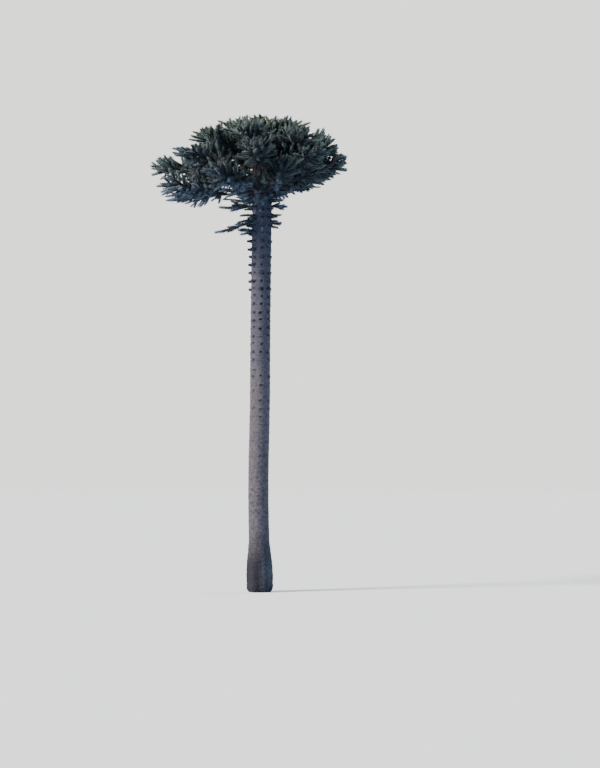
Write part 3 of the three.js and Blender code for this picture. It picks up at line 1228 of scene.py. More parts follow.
@dataclass
class Network:
    """Adds nodes to one node tree and links them."""

    tree: NodeTree

    def node(self, kind: str, inputs: Inputs, **options: object) -> Node:
        """Adds one node.

        Args:
            kind: the node's type.
            inputs: for each input, a value or the socket that feeds it.
            options: the node's own settings.

        Returns:
            The node.
        """
        node = self.tree.nodes.new(kind)
        for name, value in options.items():
            setattr(node, name, value)
        for name, value in inputs.items():
            if isinstance(value, NodeSocket):
                self.tree.links.new(value, node.inputs[name])
            else:
                node.inputs[name].default_value = value
        return node

    def noise(self, place: NodeSocket, scale: object, detail: float) -> NodeSocket:
        """Adds a noise and returns its value."""
        inputs = {"Vector": place, "Scale": scale, "Detail": detail, "Roughness": 0.6}
        return self.node("ShaderNodeTexNoise", inputs).outputs["Fac"]

    def scaled(self, place: NodeSocket, scale: object) -> NodeSocket:
        """Stretches a place by a factor for each axis and returns it."""
        inputs = {0: place, 1: scale}
        return self.node("ShaderNodeVectorMath", inputs, operation="MULTIPLY").outputs[0]

    def ranged(self, value: object, band: Band) -> NodeSocket:
        """Maps the first two values of a band on to its last two, and returns the result."""
        inputs = dict(zip(("Value", "From Min", "From Max", "To Min", "To Max"), (value, *band)))
        return self.node("ShaderNodeMapRange", inputs).outputs["Result"]

    def maths(self, operation: str, first: object, second: object) -> NodeSocket:
        """Combines two values and returns the result."""
        return self.node("ShaderNodeMath", {0: first, 1: second}, operation=operation).outputs[0]

    def times(self, first: object, second: object) -> NodeSocket:
        """Multiplies two values and returns the result."""
        return self.maths("MULTIPLY", first, second)

    def sum_of(self, *parts: tuple[NodeSocket, float]) -> NodeSocket:
        """Adds up values, each times its own share, and returns the sum."""
        shares = [self.times(value, share) for value, share in parts]
        return reduce(lambda first, second: self.maths("ADD", first, second), shares)

    def mixed(self, share: object, first: object, second: object) -> NodeSocket:
        """Mixes two colours and returns the result."""
        first, second = (c if isinstance(c, NodeSocket) else (*c, 1) for c in (first, second))
        return self.node("ShaderNodeMix", {0: share, 6: first, 7: second}, data_type="RGBA").outputs[2]

    def place(self) -> NodeSocket:
        """Returns the place on the object."""
        return self.node("ShaderNodeTexCoord", {}).outputs["Object"]

    def bumped(self, height: NodeSocket, strength: float, distance: float) -> NodeSocket:
        """Turns a height into the normals of a surface with that relief, and returns them."""
        inputs = {"Strength": strength, "Distance": distance, "Height": height}
        return self.node("ShaderNodeBump", inputs).outputs[0]


class Effect(Enum):
    """The effects that several finishes share, each one a shader node group."""

    WEATHERING = "weathering"
    LEAF_GRAIN = "leaf_grain"

    def placed(self, net: Network, inputs: Inputs) -> dict[str, NodeSocket]:
        """Places the effect in a material. Its node group is built at its first use.

        Args:
            net: the material's nodes.
            inputs: the effect's own values there.

        Returns:
            The effect's outputs by name.
        """
        made = bpy.data.node_groups.get(self.value)
        group = made or (weathering() if self is Effect.WEATHERING else leaf_grain())
        return dict(net.node("ShaderNodeGroup", inputs, node_tree=group).outputs.items())


def new_group(
    name: str, inputs: dict[str, tuple[str, object]], outputs: dict[str, str]
) -> tuple[Network, dict[str, NodeSocket]]:
    """Starts a shader node group with named inputs and outputs.

    Args:
        name: the group's name.
        inputs: for each input, the socket type and the value that it has when nothing else is set.
        outputs: for each output, the socket type.

    Returns:
        The group's nodes, and its input sockets by name.
    """
    group = bpy.data.node_groups.new(name, "ShaderNodeTree")
    for label, (kind, value) in inputs.items():
        socket = group.interface.new_socket(label, in_out="INPUT", socket_type=kind)
        socket.default_value = value
    for label, kind in outputs.items():
        group.interface.new_socket(label, in_out="OUTPUT", socket_type=kind)
    net = Network(group)
    entry = net.node("NodeGroupInput", {})
    return net, {label: entry.outputs[label] for label in inputs}


def weathering() -> NodeTree:
    """Builds the effect of old bark: soft patches of tone, fine wrinkles and grit.

    Returns:
        The node group, with a tone, a mask of wrinkles and a height.
    """
    net, given = new_group(
        Effect.WEATHERING.value,
        {
            "Patch Scale": (FLOAT, 1.2),
            "Wrinkle Scale": (FLOAT, 14.0),
            "Stretch": ("NodeSocketVector", (1.0, 1.0, 1.0)),
        },
        {"Tone": FLOAT, "Wrinkles": FLOAT, "Height": FLOAT},
    )
    place = net.place()
    patches = net.noise(place, given["Patch Scale"], detail=5)
    wrinkles = net.noise(net.scaled(place, given["Stretch"]), given["Wrinkle Scale"], detail=4)
    grit = net.noise(place, scale=90, detail=3)
    net.node("NodeGroupOutput", {
        "Tone": net.ranged(patches, (0.3, 0.7, 0, 1)),
        "Wrinkles": net.ranged(wrinkles, (0.36, 0.5, 1, 0)),
        "Height": net.sum_of((wrinkles, 0.8), (grit, 0.2)),
    })
    return net.tree


def leaf_grain() -> NodeTree:
    """Builds the effect of leathery leaves: a gentle change of tone, of gloss and of surface.

    Returns:
        The node group, with a colour, a roughness and a height.
    """
    net, given = new_group(
        Effect.LEAF_GRAIN.value,
        {
            "Leaf": (COLOUR, (0.03, 0.05, 0.04, 1)),
            "Shade": (COLOUR, (0.02, 0.03, 0.03, 1)),
            "Gloss": (FLOAT, 0.5),
        },
        {"Color": COLOUR, "Roughness": FLOAT, "Height": FLOAT},
    )
    place = net.place()
    drift = net.ranged(net.noise(place, scale=2.2, detail=3), (0.35, 0.65, 0, 1))
    veins = net.noise(place, scale=60, detail=2)
    net.node("NodeGroupOutput", {
        "Color": net.mixed(drift, given["Leaf"], given["Shade"]),
        "Roughness": net.maths("ADD", given["Gloss"], net.ranged(veins, (0.3, 0.7, -0.06, 0.06))),
        "Height": veins,
    })
    return net.tree


@dataclass(frozen=True)
class Finish:
    """A material with one shader, which each kind of finish feeds in its own way."""

    name: str

    def material(self) -> Material:
        """Builds the material.

        Returns:
            The material, with nothing but its shader, its output and what feeds them.
        """
        material = bpy.data.materials.new(self.name)
        material.use_nodes = True
        material.node_tree.nodes.clear()
        net = Network(material.node_tree)
        shader = net.node("ShaderNodeBsdfPrincipled", self.inputs(net))
        net.node("ShaderNodeOutputMaterial", {"Surface": shader.outputs[0]})
        return material

    def inputs(self, net: Network) -> Inputs:
        """Gives a value or a socket for each input of the shader that the finish sets.

        Args:
            net: the material's nodes.

        Returns:
            The shader's inputs.
        """
        raise NotImplementedError


@dataclass(frozen=True)
class BarkFinish(Finish):
    """Old plated bark: pale grey plates, dark cracks and scars, a dark foot, painted cool light on the shaded
    right side of the lower trunk, painted shade of the crown on the neck, and painted streaks of light on the
    front of the neck.

    The bands over heights are in metres above the ground, and shaded_side is a band from left to right.
    """

    name: str = "plated_bark"
    plate: Colour = (0.08, 0.069, 0.073)
    pale: Colour = (0.176, 0.153, 0.158)
    crack: Colour = (0.03, 0.028, 0.034)
    scar: Colour = (0.018, 0.014, 0.02)
    foot: Colour = (0.019, 0.018, 0.024)
    # Painted shade: the dark blue-grey of the crown's shadow on the upper trunk
    neck: Colour = (0.042, 0.05, 0.072)
    # Painted cool light: a paler bluish tint for the cool fill light on the shaded right side of the lower
    # trunk
    painted_cool_light: Colour = (0.09, 0.104, 0.114)
    # Painted light: the pale streaks of light on the front of the neck
    streak: Colour = (0.2, 0.2, 0.23)
    fleck_scale: float = 5.5
    fleck_band: Band = (0.35, 0.65, 0, 1)
    plate_share: float = 0.25
    patch_share: float = 0.3
    fleck_share: float = 0.45
    neck_shade_heights: Band = (12, 22.5, 0, 1)
    neck_shade_flecks: Band = (0, 1, 1, 0.72)
    foot_heights: Band = (3.9, 1.7, 0, 0.94)
    painted_cool_light_heights: Band = (3.0, 1.3, 0, 0.85)
    painted_cool_light_fade: Band = (0.2, 1.1, 0.25, 1)
    shaded_side: Band = (-0.05, 0.5, 0, 1)
    wrinkle_share: float = 0.45
    crack_share: float = 0.6
    scar_share: float = 0.95
    light_streak_flecks: Band = (0.2, 0.9, 0.15, 0.85)
    rough: Band = (0, 1, 0.84, 0.96)

    def inputs(self, net: Network) -> Inputs:
        """Lays the bark's colours over one another, by height and by the marks stored with the relief.

        Args:
            net: the material's nodes.

        Returns:
            The shader's inputs.
        """
        marks = net.node("ShaderNodeAttribute", {}, attribute_name="marks", attribute_type="GEOMETRY").outputs
        crack, plate, scar = net.node("ShaderNodeSeparateColor", {0: marks["Color"]}).outputs
        aside, _, height = net.node("ShaderNodeSeparateXYZ", {0: net.place()}).outputs
        old = Effect.WEATHERING.placed(net, {"Patch Scale": 0.9, "Wrinkle Scale": 9, "Stretch": (1, 1, 4)})
        flecks = net.ranged(net.noise(net.place(), self.fleck_scale, detail=4), self.fleck_band)
        tone = net.sum_of(
            (plate, self.plate_share), (old["Tone"], self.patch_share), (flecks, self.fleck_share)
        )
        # Painted shade: the upper trunk under the crown is tinted dark blue-grey in place of the crown's
        # shadow
        cool = net.times(net.ranged(height, self.neck_shade_heights), net.ranged(flecks, self.neck_shade_flecks))
        # Painted cool light: the lower trunk's right side, away from the key light, is tinted paler and
        # bluer, fading towards the ground
        painted_cool_by_height = net.times(net.ranged(height, self.painted_cool_light_heights), net.ranged(height, self.painted_cool_light_fade))
        colour = net.mixed(tone, self.plate, self.pale)
        for share, over in (
            (cool, self.neck),
            (net.ranged(height, self.foot_heights), self.foot),
            (net.times(painted_cool_by_height, net.ranged(aside, self.shaded_side)), self.painted_cool_light),
            (net.times(old["Wrinkles"], self.wrinkle_share), self.crack),
            (net.times(crack, self.crack_share), self.crack),
            (net.times(scar, self.scar_share), self.scar),
            # Painted light: pale streaks of light on the front of the shaded neck
            (net.times(marks["Alpha"], net.ranged(flecks, self.light_streak_flecks)), self.streak),
        ):
            colour = net.mixed(share, colour, over)
        return {
            "Base Color": colour, "Roughness": net.ranged(old["Tone"], self.rough),
            "Normal": net.bumped(old["Height"], strength=0.8, distance=0.02),
            "Specular IOR Level": 0.25,
        }


@dataclass(frozen=True)
class WoodFinish(Finish):
    """Dark bark of boughs, stubs or twigs."""

    wood: Colour
    pale: Colour
    crack: Colour
    wrinkle_scale: float = 16
    crack_share: float = 0.6
    rough: Band = (0, 1, 0.82, 0.94)

    def inputs(self, net: Network) -> Inputs:
        """Gives patchy wood with darker wrinkles.

        Args:
            net: the material's nodes.

        Returns:
            The shader's inputs.
        """
        old = Effect.WEATHERING.placed(net, {"Patch Scale": 1.6, "Wrinkle Scale": self.wrinkle_scale})
        wood = net.mixed(old["Tone"], self.wood, self.pale)
        return {
            "Base Color": net.mixed(net.times(old["Wrinkles"], self.crack_share), wood, self.crack),
            "Roughness": net.ranged(old["Tone"], self.rough),
            "Normal": net.bumped(old["Height"], strength=0.5, distance=0.008),
            "Specular IOR Level": 0.25,
        }


@dataclass(frozen=True)
class LeafFinish(Finish):
    """Stiff leathery scale leaves of one tint."""

    leaf: Colour
    shade: Colour
    gloss: float = 0.52

    def inputs(self, net: Network) -> Inputs:
        """Gives the tint and its shade, with a faint grain.

        Args:
            net: the material's nodes.

        Returns:
            The shader's inputs.
        """
        given = {"Leaf": (*self.leaf, 1), "Shade": (*self.shade, 1), "Gloss": self.gloss}
        grain = Effect.LEAF_GRAIN.placed(net, given)
        return {
            "Base Color": grain["Color"], "Roughness": grain["Roughness"],
            "Normal": net.bumped(grain["Height"], strength=0.3, distance=0.004),
            "Specular IOR Level": 0.3,
        }


@dataclass(frozen=True)
class FloorFinish(Finish):
    """A matt pale floor that glows a little to the camera, and throws cool light back on the tree."""

    name: str = "pale_floor"
    pale: Colour = (0.8, 0.81, 0.8)
    cool: Colour = (0.52, 0.66, 0.9)
    darker: float = 0.985
    grain_scale: float = 0.8
    glow: float = 0.55

    def inputs(self, net: Network) -> Inputs:
        """Gives a floor that is pale as seen, and cool in the light that it throws back.

        Args:
            net: the material's nodes.

        Returns:
            The shader's inputs.
        """
        grain = net.noise(net.place(), self.grain_scale, detail=3)
        seen = net.node("ShaderNodeLightPath", {}).outputs["Is Camera Ray"]
        pale = net.mixed(grain, tuple(self.darker * c for c in self.pale), self.pale)
        return {
            "Base Color": net.mixed(seen, self.cool, pale), "Roughness": 1.0, "Specular IOR Level": 0,
            "Emission Color": (*self.pale, 1), "Emission Strength": net.times(seen, self.glow),
        }


class Tint(Enum):
    """The tints of the leaves, which are dealt out by tail. Through the zones the lighter and paler ones
    serve as painted light and the darker ones as painted shade.
    """

    DEEP = LeafFinish("leaves_deep_green", (0.066, 0.08, 0.078), (0.045, 0.055, 0.055))
    BLUE = LeafFinish("leaves_blue_green", (0.1, 0.128, 0.142), (0.068, 0.09, 0.104))
    MIDDLE = LeafFinish("leaves_middle_green", (0.12, 0.168, 0.146), (0.08, 0.116, 0.104))
    LIGHT = LeafFinish("leaves_light_green", (0.185, 0.245, 0.21), (0.125, 0.168, 0.146))
    # Pale blue, painted bounce light on the crown's underside
    HAZE = LeafFinish("leaves_pale_blue", (0.19, 0.235, 0.285), (0.135, 0.17, 0.21))
    OLIVE = LeafFinish("leaves_olive", (0.185, 0.205, 0.122), (0.125, 0.14, 0.088))
    BROWN = LeafFinish("leaves_old_brown", (0.115, 0.093, 0.08), (0.074, 0.061, 0.055), 0.7)

    @property
    def number(self) -> int:
        """Returns the tint's place among a piece's finishes."""
        return list(Tint).index(self)


# The trunk
@dataclass(frozen=True)
class Scars:
    """The rings of yearly growth up the trunk, and the scars of shed boughs that stand on them in columns.

    Attributes:
        low: the height of the first ring.
        gap: the height from ring to ring, which is also the height of a scar's cell.
        ring_tall: how tall a ring is.
        wave: how far a ring rises and falls on its way round the trunk.
        waves: how often it does so.
        wave_shift: how far the waves turn from ring to ring, in radians.
        columns: how many scars a ring carries.
        turn: the azimuth of the first column, in degrees.
        wide: half a scar's width.
        tall: half its height.
        stray_aside: how far scars stray from their column, in radians.
        stray_up: how far they stray from their ring.
        stray_least: the share of that which stays at the neck.
        stray_more: the rest of it, and where it ends.
        smallest: the size of the smallest scar, as a share of the usual one.
        larger: how much larger the largest one is.
        kept: the share of the cells that have a clear scar on the lower trunk.
        kept_more: the share that is added farther up.
        faint: how clear the other scars are.
        clear_least: how clear the scars are at the foot.
        clear_more: how much clearer they grow farther up.
        clear_until: where they end inside the crown.
        border: where a scar fades towards the border of its cell.
        rim: where its rim stands, as a share of its size, and rim_wide how wide that is.
        hollow: from where to where its hollow rises to the rim.
        stain: from where to where its stain fades.
    """

    low: float = 0.4
    gap: float = 0.5
    ring_tall: float = 0.045
    wave: float = 0.02
    waves: int = 3
    wave_shift: float = 1.7
    columns: int = 8
    turn: float = -84
    wide: float = 0.112
    tall: float = 0.084
    stray_aside: float = 0.24
    stray_up: float = 0.2
    stray_least: float = 0.4
    stray_more: Ramp = Ramp(17, 20, 0.6)
    smallest: float = 0.78
    larger: float = 0.5
    kept: float = 0.7
    kept_more: Ramp = Ramp(14, 19, 0.3)
    faint: float = 0.15
    clear_least: float = 0.35
    clear_more: Ramp = Ramp(9, 16, 0.65)
    clear_until: Ramp = Ramp(25, 27)
    border: Ramp = Ramp(0.7, 1)
    rim: float = 1.4
    rim_wide: float = 0.28
    hollow: Ramp = Ramp(0.55, 1.35)
    stain: Ramp = Ramp(0.3, 1.7)

    def marks(self, turn: Array, z: Array, radius: Array) -> tuple[Array, ...]:
        """Finds the rings and the scars at points of the trunk.

        Args:
            turn: the azimuth of each point.
            z: its height.
            radius: its distance from the trunk's middle.

        Returns:
            Masks of the rings, of the scars' hollows, their rims and their stains, from 0 to 1.
        """
        number = np.round((z - self.low) / self.gap)
        beside = z - self.low - number * self.gap
        above = beside + self.wave * np.sin(self.waves * turn + self.wave_shift * number)
        ring = np.exp(-((above / self.ring_tall) ** 2))
        step = 2 * math.pi / self.columns
        aside = turn - math.radians(self.turn)
        column = np.round(aside / step)
        aside = aside - column * step
        cell = SCATTER[0] * number + SCATTER[1] * (column % self.columns)
        chance = [np.abs(scattered(cell + k)) % 1 for k in range(4)]
        border = np.maximum(np.abs(aside) / (step / 2), np.abs(beside) / (self.gap / 2))
        stray = self.stray_least + self.stray_more.down(z)
        across = (aside - self.stray_aside * stray * (chance[0] - 0.5)) * radius / self.wide
        upright = (above + self.stray_up * stray * (chance[1] - 0.5)) / self.tall
        off = np.hypot(across, upright) / (self.smallest + self.larger * chance[2] ** 2)
        clear = np.where(chance[3] < self.kept + self.kept_more.up(z), 1, self.faint)
        clear = clear * (self.clear_least + self.clear_more.up(z)) * self.clear_until.down(z)
        clear = clear * self.border.down(border)
        rim = np.exp(-(((off - self.rim) / self.rim_wide) ** 2))
        return ring, self.hollow.down(off) * clear, rim * clear, self.stain.down(off) * clear


@dataclass
class Trunk:
    """The whole trunk with its bark relief.

    A Depth says how deep a mark is all over, and how much deeper in the rough bark below and at the foot.
    """

    bole: Bole
    scars: Scars = Scars()
    # The surface, and from where to where its relief sets in and fades
    sides: int = 24
    rings: int = 250
    smoothing: int = 2
    sharp_from: float = 80
    wall: Ramp = Ramp(0.7, 0.9)
    rough_until: Ramp = Ramp(3, 12)
    foot_until: Ramp = Ramp(1.5, 4)
    fade_at_top: float = 0.5
    # Plates and the cracks between them
    plate_wide: float = 0.21
    plate_tall: float = 0.27
    crack_wide: float = 0.16
    crack: Depth = (0.006, 0.01, 0.01)
    crack_dark: Depth = (0.35, 0.65, 0)
    # Lumps, wrinkles, rings and scars
    lump_scale: float = 2.4
    fine_lump_scale: float = 6
    fine_lump: float = 0.5
    lump: Depth = (0.006, 0, 0.01)
    wrinkle_wide: float = 0.625
    wrinkle_gap: float = 0.11
    wrinkle: Depth = (0.0144, -0.0084, 0)
    ring: Depth = (0.014, -0.0098, 0)
    scar_deep: float = 0.045
    scar_rim: float = 0.016
    # The foot's lower edge
    round_in: float = 0.1
    round_until: float = 0.3
    flat_below: float = 1e-4
    # Painted streaks of light on the front of the neck: each streak's top and foot, as a place along X and a
    # height, and half its width
    painted_light_streaks: tuple[tuple[float, ...], ...] = (
        (-0.17, 24.95, -0.42, 23.3, 0.06),
        (0.14, 23.3, 0.11, 22.2, 0.05),
    )
    streak_past: float = 0.1
    streak_fade: float = 0.4

    def build(self) -> Object:
        """Builds the bark.

        Returns:
            The piece.
        """
        heights = np.linspace(0, self.bole.top, self.rings + 1)
        rings = list(zip(self.bole.heart(heights), self.bole.radius(heights)))
        bark = drawn_up("trunk_bark", rings, self.sides, self.smoothing)
        self.carve(bark.data)
        bark.data.materials.append(BarkFinish().material())
        smooth(bark, self.sharp_from)
        return bark

    def carve(self, mesh: Mesh) -> None:
        """Moves the points in and out: lobed foot, plates, wrinkles, ring scars and the scars of boughs.

        Args:
            mesh: the smooth trunk.
        """
        points = points_of(mesh)
        z = points[:, 2]
        heart = self.bole.heart(z)
        reach = points - heart
        turn = np.arctan2(reach[:, 1], reach[:, 0])
        radius = np.maximum(TINY, np.hypot(reach[:, 0], reach[:, 1]))
        crack, tone = self.plates(points)
        lumps = noises(points * self.lump_scale) + self.fine_lump * noises(points * self.fine_lump_scale)
        wrinkles = noises(points / (self.wrinkle_wide, self.wrinkle_wide, self.wrinkle_gap))
        ring, hollow, rim, stain = self.scars.marks(turn, z, radius)
        parts = np.stack((np.ones_like(z), self.rough_until.down(z), self.foot_until.down(z)))
        out = self.bole.lobe(turn, z) - self.round_in * np.maximum(0, 1 - z / self.round_until) ** 2
        depths = self.lump, self.crack, self.wrinkle, self.ring
        for mark, depth in zip((lumps, -crack, wrinkles, ring), depths):
            out += mark * (np.array(depth) @ parts)
        out += rim * self.scar_rim - hollow * self.scar_deep
        out *= self.wall.up(radius / self.bole.radius(z))
        out *= np.minimum(1, (self.bole.top - z) / self.fade_at_top)
        points[:, :2] = heart[:, :2] + reach[:, :2] * ((radius + out) / radius)[:, None]
        points[:, 2] = np.where(z < self.flat_below, 0, z)
        move_points(mesh, points)
        dark = crack * (np.array(self.crack_dark) @ parts)
        # The fourth channel is the mask of the painted streaks of light
        paint(mesh, "marks", np.stack((dark, tone, stain, self.streaks(points)), axis=1))

    def streaks(self, points: Array) -> Array:
        """Finds the pale streaks of painted light that run down the front of the trunk just under the crown.

        Args:
            points: the trunk's points.

        Returns:
            A mask from 0 to 1.
        """
        x, y, z = points.T
        mask = np.zeros(len(x))
        past, fade = self.streak_past, self.streak_fade
        for top_x, top_z, foot_x, foot_z, wide in self.painted_light_streaks:
            line = lerp(top_x, foot_x, (top_z - z) / (top_z - foot_z))
            ends = Ramp(foot_z - past, foot_z + fade).up(z) * Ramp(top_z - fade, top_z + past).down(z)
            mask += np.exp(-(((x - line) / wide) ** 2)) * ends * (y < 0)
        return mask

    def plates(self, points: Array) -> tuple[Array, Array]:
        """Divides the bark into plates.

        Args:
            points: the trunk's points.

        Returns:
            How near each point is to a crack, and a tone for its plate, both from 0 to 1.
        """
        size = np.array((self.plate_wide, self.plate_wide, self.plate_tall))
        found = [noise.voronoi(Vector(p)) for p in points / size]
        near = np.array([lengths[:2] for lengths, _ in found])
        centre = np.array([tuple(middles[0]) for _, middles in found])
        crack = 1 - smoothstep(near[:, 1] - near[:, 0], 0, self.crack_wide)
        return crack, scattered(centre @ np.array(SCATTER)) % 1


@dataclass
class Stubs:
    """The stubs of shed boughs round the upper trunk, where the solids have them."""

    bole: Bole
    # The rows of stubs
    seed: int = 5
    low: float = 18.9
    high: float = 23.4
    step: float = 0.5
    around: int = 4
    turn_loose: float = 12
    height_loose: float = 0.08
    length_loose: float = 0.3
    # The further stubs on the left
    extra_seed: int = 6
    extra_turn: float = 180
    extra_turn_loose: float = 10
    extra_height_loose: float = 0.1
    extra_length_loose: float = 0.2
    # One stub, which is longer the higher it stands and the farther to the left
    radius: float = 0.062
    stout: float = 1.7
    root: float = 0.9
    length: float = 0.2
    lowest: float = 0.55
    left: float = 1.4
    right: float = 0.3
    arch: float = 0.02
    profile: Profile = (
        (0, 1.5), (0.2, 1.12), (0.5, 0.9), (0.8, 0.72), (0.97, 0.7), (1, 0.5), (0.93, 0.3),
    )
    crook: Profile = ((0.04, 9), (0.05, 7))
    sides: int = 7

    def model(self) -> Pattern:
        """Models one stub: a short crooked peg with a collar at its root and a broken hollow end.

        Returns:
            The pattern, which stands on the origin at length one.
        """
        (aside, pace), (ahead, other_pace) = self.crook
        rings = [
            (np.array((aside * math.sin(pace * z), ahead * math.cos(other_pace * z), z)), radius)
            for z, radius in self.profile
        ]
        return Pattern.taken_from(drawn_up("stub", rings, self.sides, 0))

    def build(self) -> Object:
        """Copies the stub in rows round the trunk, with one more on the left of every other row.

        Returns:
            The joined piece.
        """
        model = self.model()
        batch = Batch()
        draw, extra = Draw(self.seed), Draw(self.extra_seed)
        rows = round((self.high - self.low) / self.step)
        for row in range(rows + 1):
            grown = lerp(self.lowest, 1, row / rows) * self.length
            z = self.low + row * self.step
            for k in range(self.around):
                turn = 360 / self.around * (k + (row % 2) / 2) + draw.within(self.turn_loose)
                length = draw.about(grown, self.length_loose)
                self.add(batch, model, turn, z + draw.within(self.height_loose), length)
            if row % 2:
                turn = self.extra_turn + extra.within(self.extra_turn_loose)
                height = z + extra.within(self.extra_height_loose)
                self.add(batch, model, turn, height, extra.about(grown, self.extra_length_loose))
        finish = WoodFinish("stub_wood", (0.03, 0.03, 0.038), (0.06, 0.058, 0.066), (0.014, 0.014, 0.018))
        return batch.piece("trunk_stubs", [finish.material()])

    def add(self, batch: Batch, model: Pattern, turn: float, z: float, length: float) -> None:
        """Adds one stub, longer on the left and short on the right.

        Args:
            batch: the piece that it is joined into.
            model: the model of a stub.
            turn: its azimuth, in degrees.
            z: its height.
            length: its mean length.
        """
        out = level(math.radians(turn))
        length *= lerp(self.left, self.right, (1 + out[0]) / 2)
        foot, tip = self.bole.at(z, out, self.root), self.bole.at(z, out, 1, length)
        path = Path(foot, (foot + tip) / 2 + UP * self.arch, tip)
        batch.add(path.bent(model.points, self.stout * self.radius), model.faces, 0)


# The boughs
@dataclass
class Boughs:
    """The main boughs, one tapering limb each, which run on as the stems of their sprays."""

    sprays: list[Spray]
    # The surface
    sides: int = 10
    rings: int = 26
    sharp_from: float = 40
    # The thickness of a limb and of the stem that it runs on as, and its collar at the trunk
    taper: float = 0.42
    stem_share: float = 0.58
    stem_taper: float = 0.75
    collar: float = 0.5
    collar_long: float = 0.05
    # Ring scars and rough bark
    scar_rings: int = 34
    scar_ring_out: float = 0.05
    rough: float = 0.16
    rough_scale: Axes = (1.3, 1.3, 22)

    def model(self) -> Object:
        """Models one straight limb of length one and width one, with ring scars and rough bark.

        Returns:
            The object that every bough copies.
        """
        rings = [(np.array((0, 0, share)), 1.0) for share in np.linspace(0, 1, self.rings)]
        limb = drawn_up("limb_model", rings, self.sides, 1)
        points = points_of(limb.data)
        share = np.clip(points[:, 2], 0, 1)
        swell = self.scar_ring_out * np.sin(2 * np.pi * self.scar_rings * share)
        points[:, :2] *= (1 + swell + self.rough * noises(points * self.rough_scale))[:, None]
        points[:, 2] = share
        move_points(limb.data, points)
        return limb

    def build(self) -> list[Object]:
        """Copies the limb along every bough.

        Returns:
            One piece for each bough.
        """
        model = self.model()
        # Near-black bark: the boughs' own bark colour darkened as painted shade of the crown's interior
        finish = WoodFinish("bough_bark", (0.022, 0.021, 0.023), (0.048, 0.045, 0.045), (0.01, 0.01, 0.012))
        material = finish.material()
        pieces = []
        for spray in self.sprays:
            if spray.limb is None:
                continue
            piece = bpy.data.objects.new(spray.node.replace("foliage", "branch"), model.data.copy())
            piece.data.name = piece.name
            bpy.context.collection.objects.link(piece)
            self.bend(piece.data, spray)
            piece.data.materials.append(material)
            smooth(piece, self.sharp_from)
            pieces.append(piece)
        bpy.data.meshes.remove(model.data)
        return pieces

    def bend(self, mesh: Mesh, spray: Spray) -> None:
        """Bends a straight limb along its bough and on through its spray.

        Args:
            mesh: the copy's mesh.
            spray: the bough's spray.
        """
        whole = Path(spray.limb.start, self.handle(spray), spray.stem.end)
        points = points_of(mesh)
        share = points[:, 2]
        bare = spray.limb.length() / (spray.limb.length() + spray.stem.length())
        limb = spray.thick * (1 - self.taper * share / bare)
        stem = spray.thick * self.stem_share * (1 - self.stem_taper * (share - bare) / (1 - bare))
        thick = np.where(share < bare, limb, stem) * (1 + self.collar * np.exp(-share / self.collar_long))
        move_points(mesh, whole.bent(points, thick[:, None]))

    @staticmethod
    def handle(spray: Spray) -> Array:
        """Finds the handle of the curve that a spray's limb and stem are stretches of.

        Args:
            spray: the spray.

        Returns:
            The handle.
        """
        before = spray.limb.handle - spray.limb.start
        after = spray.stem.handle - spray.stem.end
        pairs = np.stack((before, -after), axis=1)
        reach = np.linalg.lstsq(pairs, spray.stem.end - spray.limb.start, rcond=None)[0]
        return spray.limb.start + before * reach[0]


# The foliage
class Zone(Enum):
    """Where a tail stands in the crown. Each zone deals out tints, to older parts first and then to tips. The
    zones paint light and shade: lighter greens on the lit top and flanks as painted highlights, blue and pale
    blue underneath as painted bounce light, mostly deep green on the front as painted shade, and some middle
    green inside against its shade; old brown parts are the leaves' own colour.

    A pair gives a tint and the draw below which it is taken.
    """

    UNDERSIDE = (((0.5, Tint.BLUE), (1, Tint.DEEP)), ((0.75, Tint.HAZE), (1, Tint.BLUE)))
    INSIDE = (((0.3, Tint.BROWN), (1, Tint.DEEP)), ((0.5, Tint.DEEP), (1, Tint.MIDDLE)))
    TOP = (
        ((0.4, Tint.MIDDLE), (1, Tint.DEEP)),
        ((0.2, Tint.LIGHT), (0.4, Tint.MIDDLE), (0.6, Tint.OLIVE), (1, Tint.MIDDLE)),
    )
    LOW = (((0.15, Tint.BROWN), (1, Tint.DEEP)), ((0.5, Tint.BLUE), (1, Tint.DEEP)))
    LOW_RIM = (((0.15, Tint.BROWN), (1, Tint.DEEP)), ((1, Tint.BLUE),))
    FLANK = (
        ((0.35, Tint.MIDDLE), (1, Tint.DEEP)),
        ((0.25, Tint.BLUE), (0.5, Tint.LIGHT), (0.75, Tint.MIDDLE), (1, Tint.BLUE)),
    )
    FRONT = (((1, Tint.DEEP),), ((0.25, Tint.MIDDLE), (0.4, Tint.BLUE), (1, Tint.DEEP)))

    def tints(self, luck: float) -> list[Tint]:
        """Returns the tints of a tail's older part and of its tip, for a draw from 0 up to 1."""
        return [next(tint for below, tint in mix if luck < below) for mix in self.value]


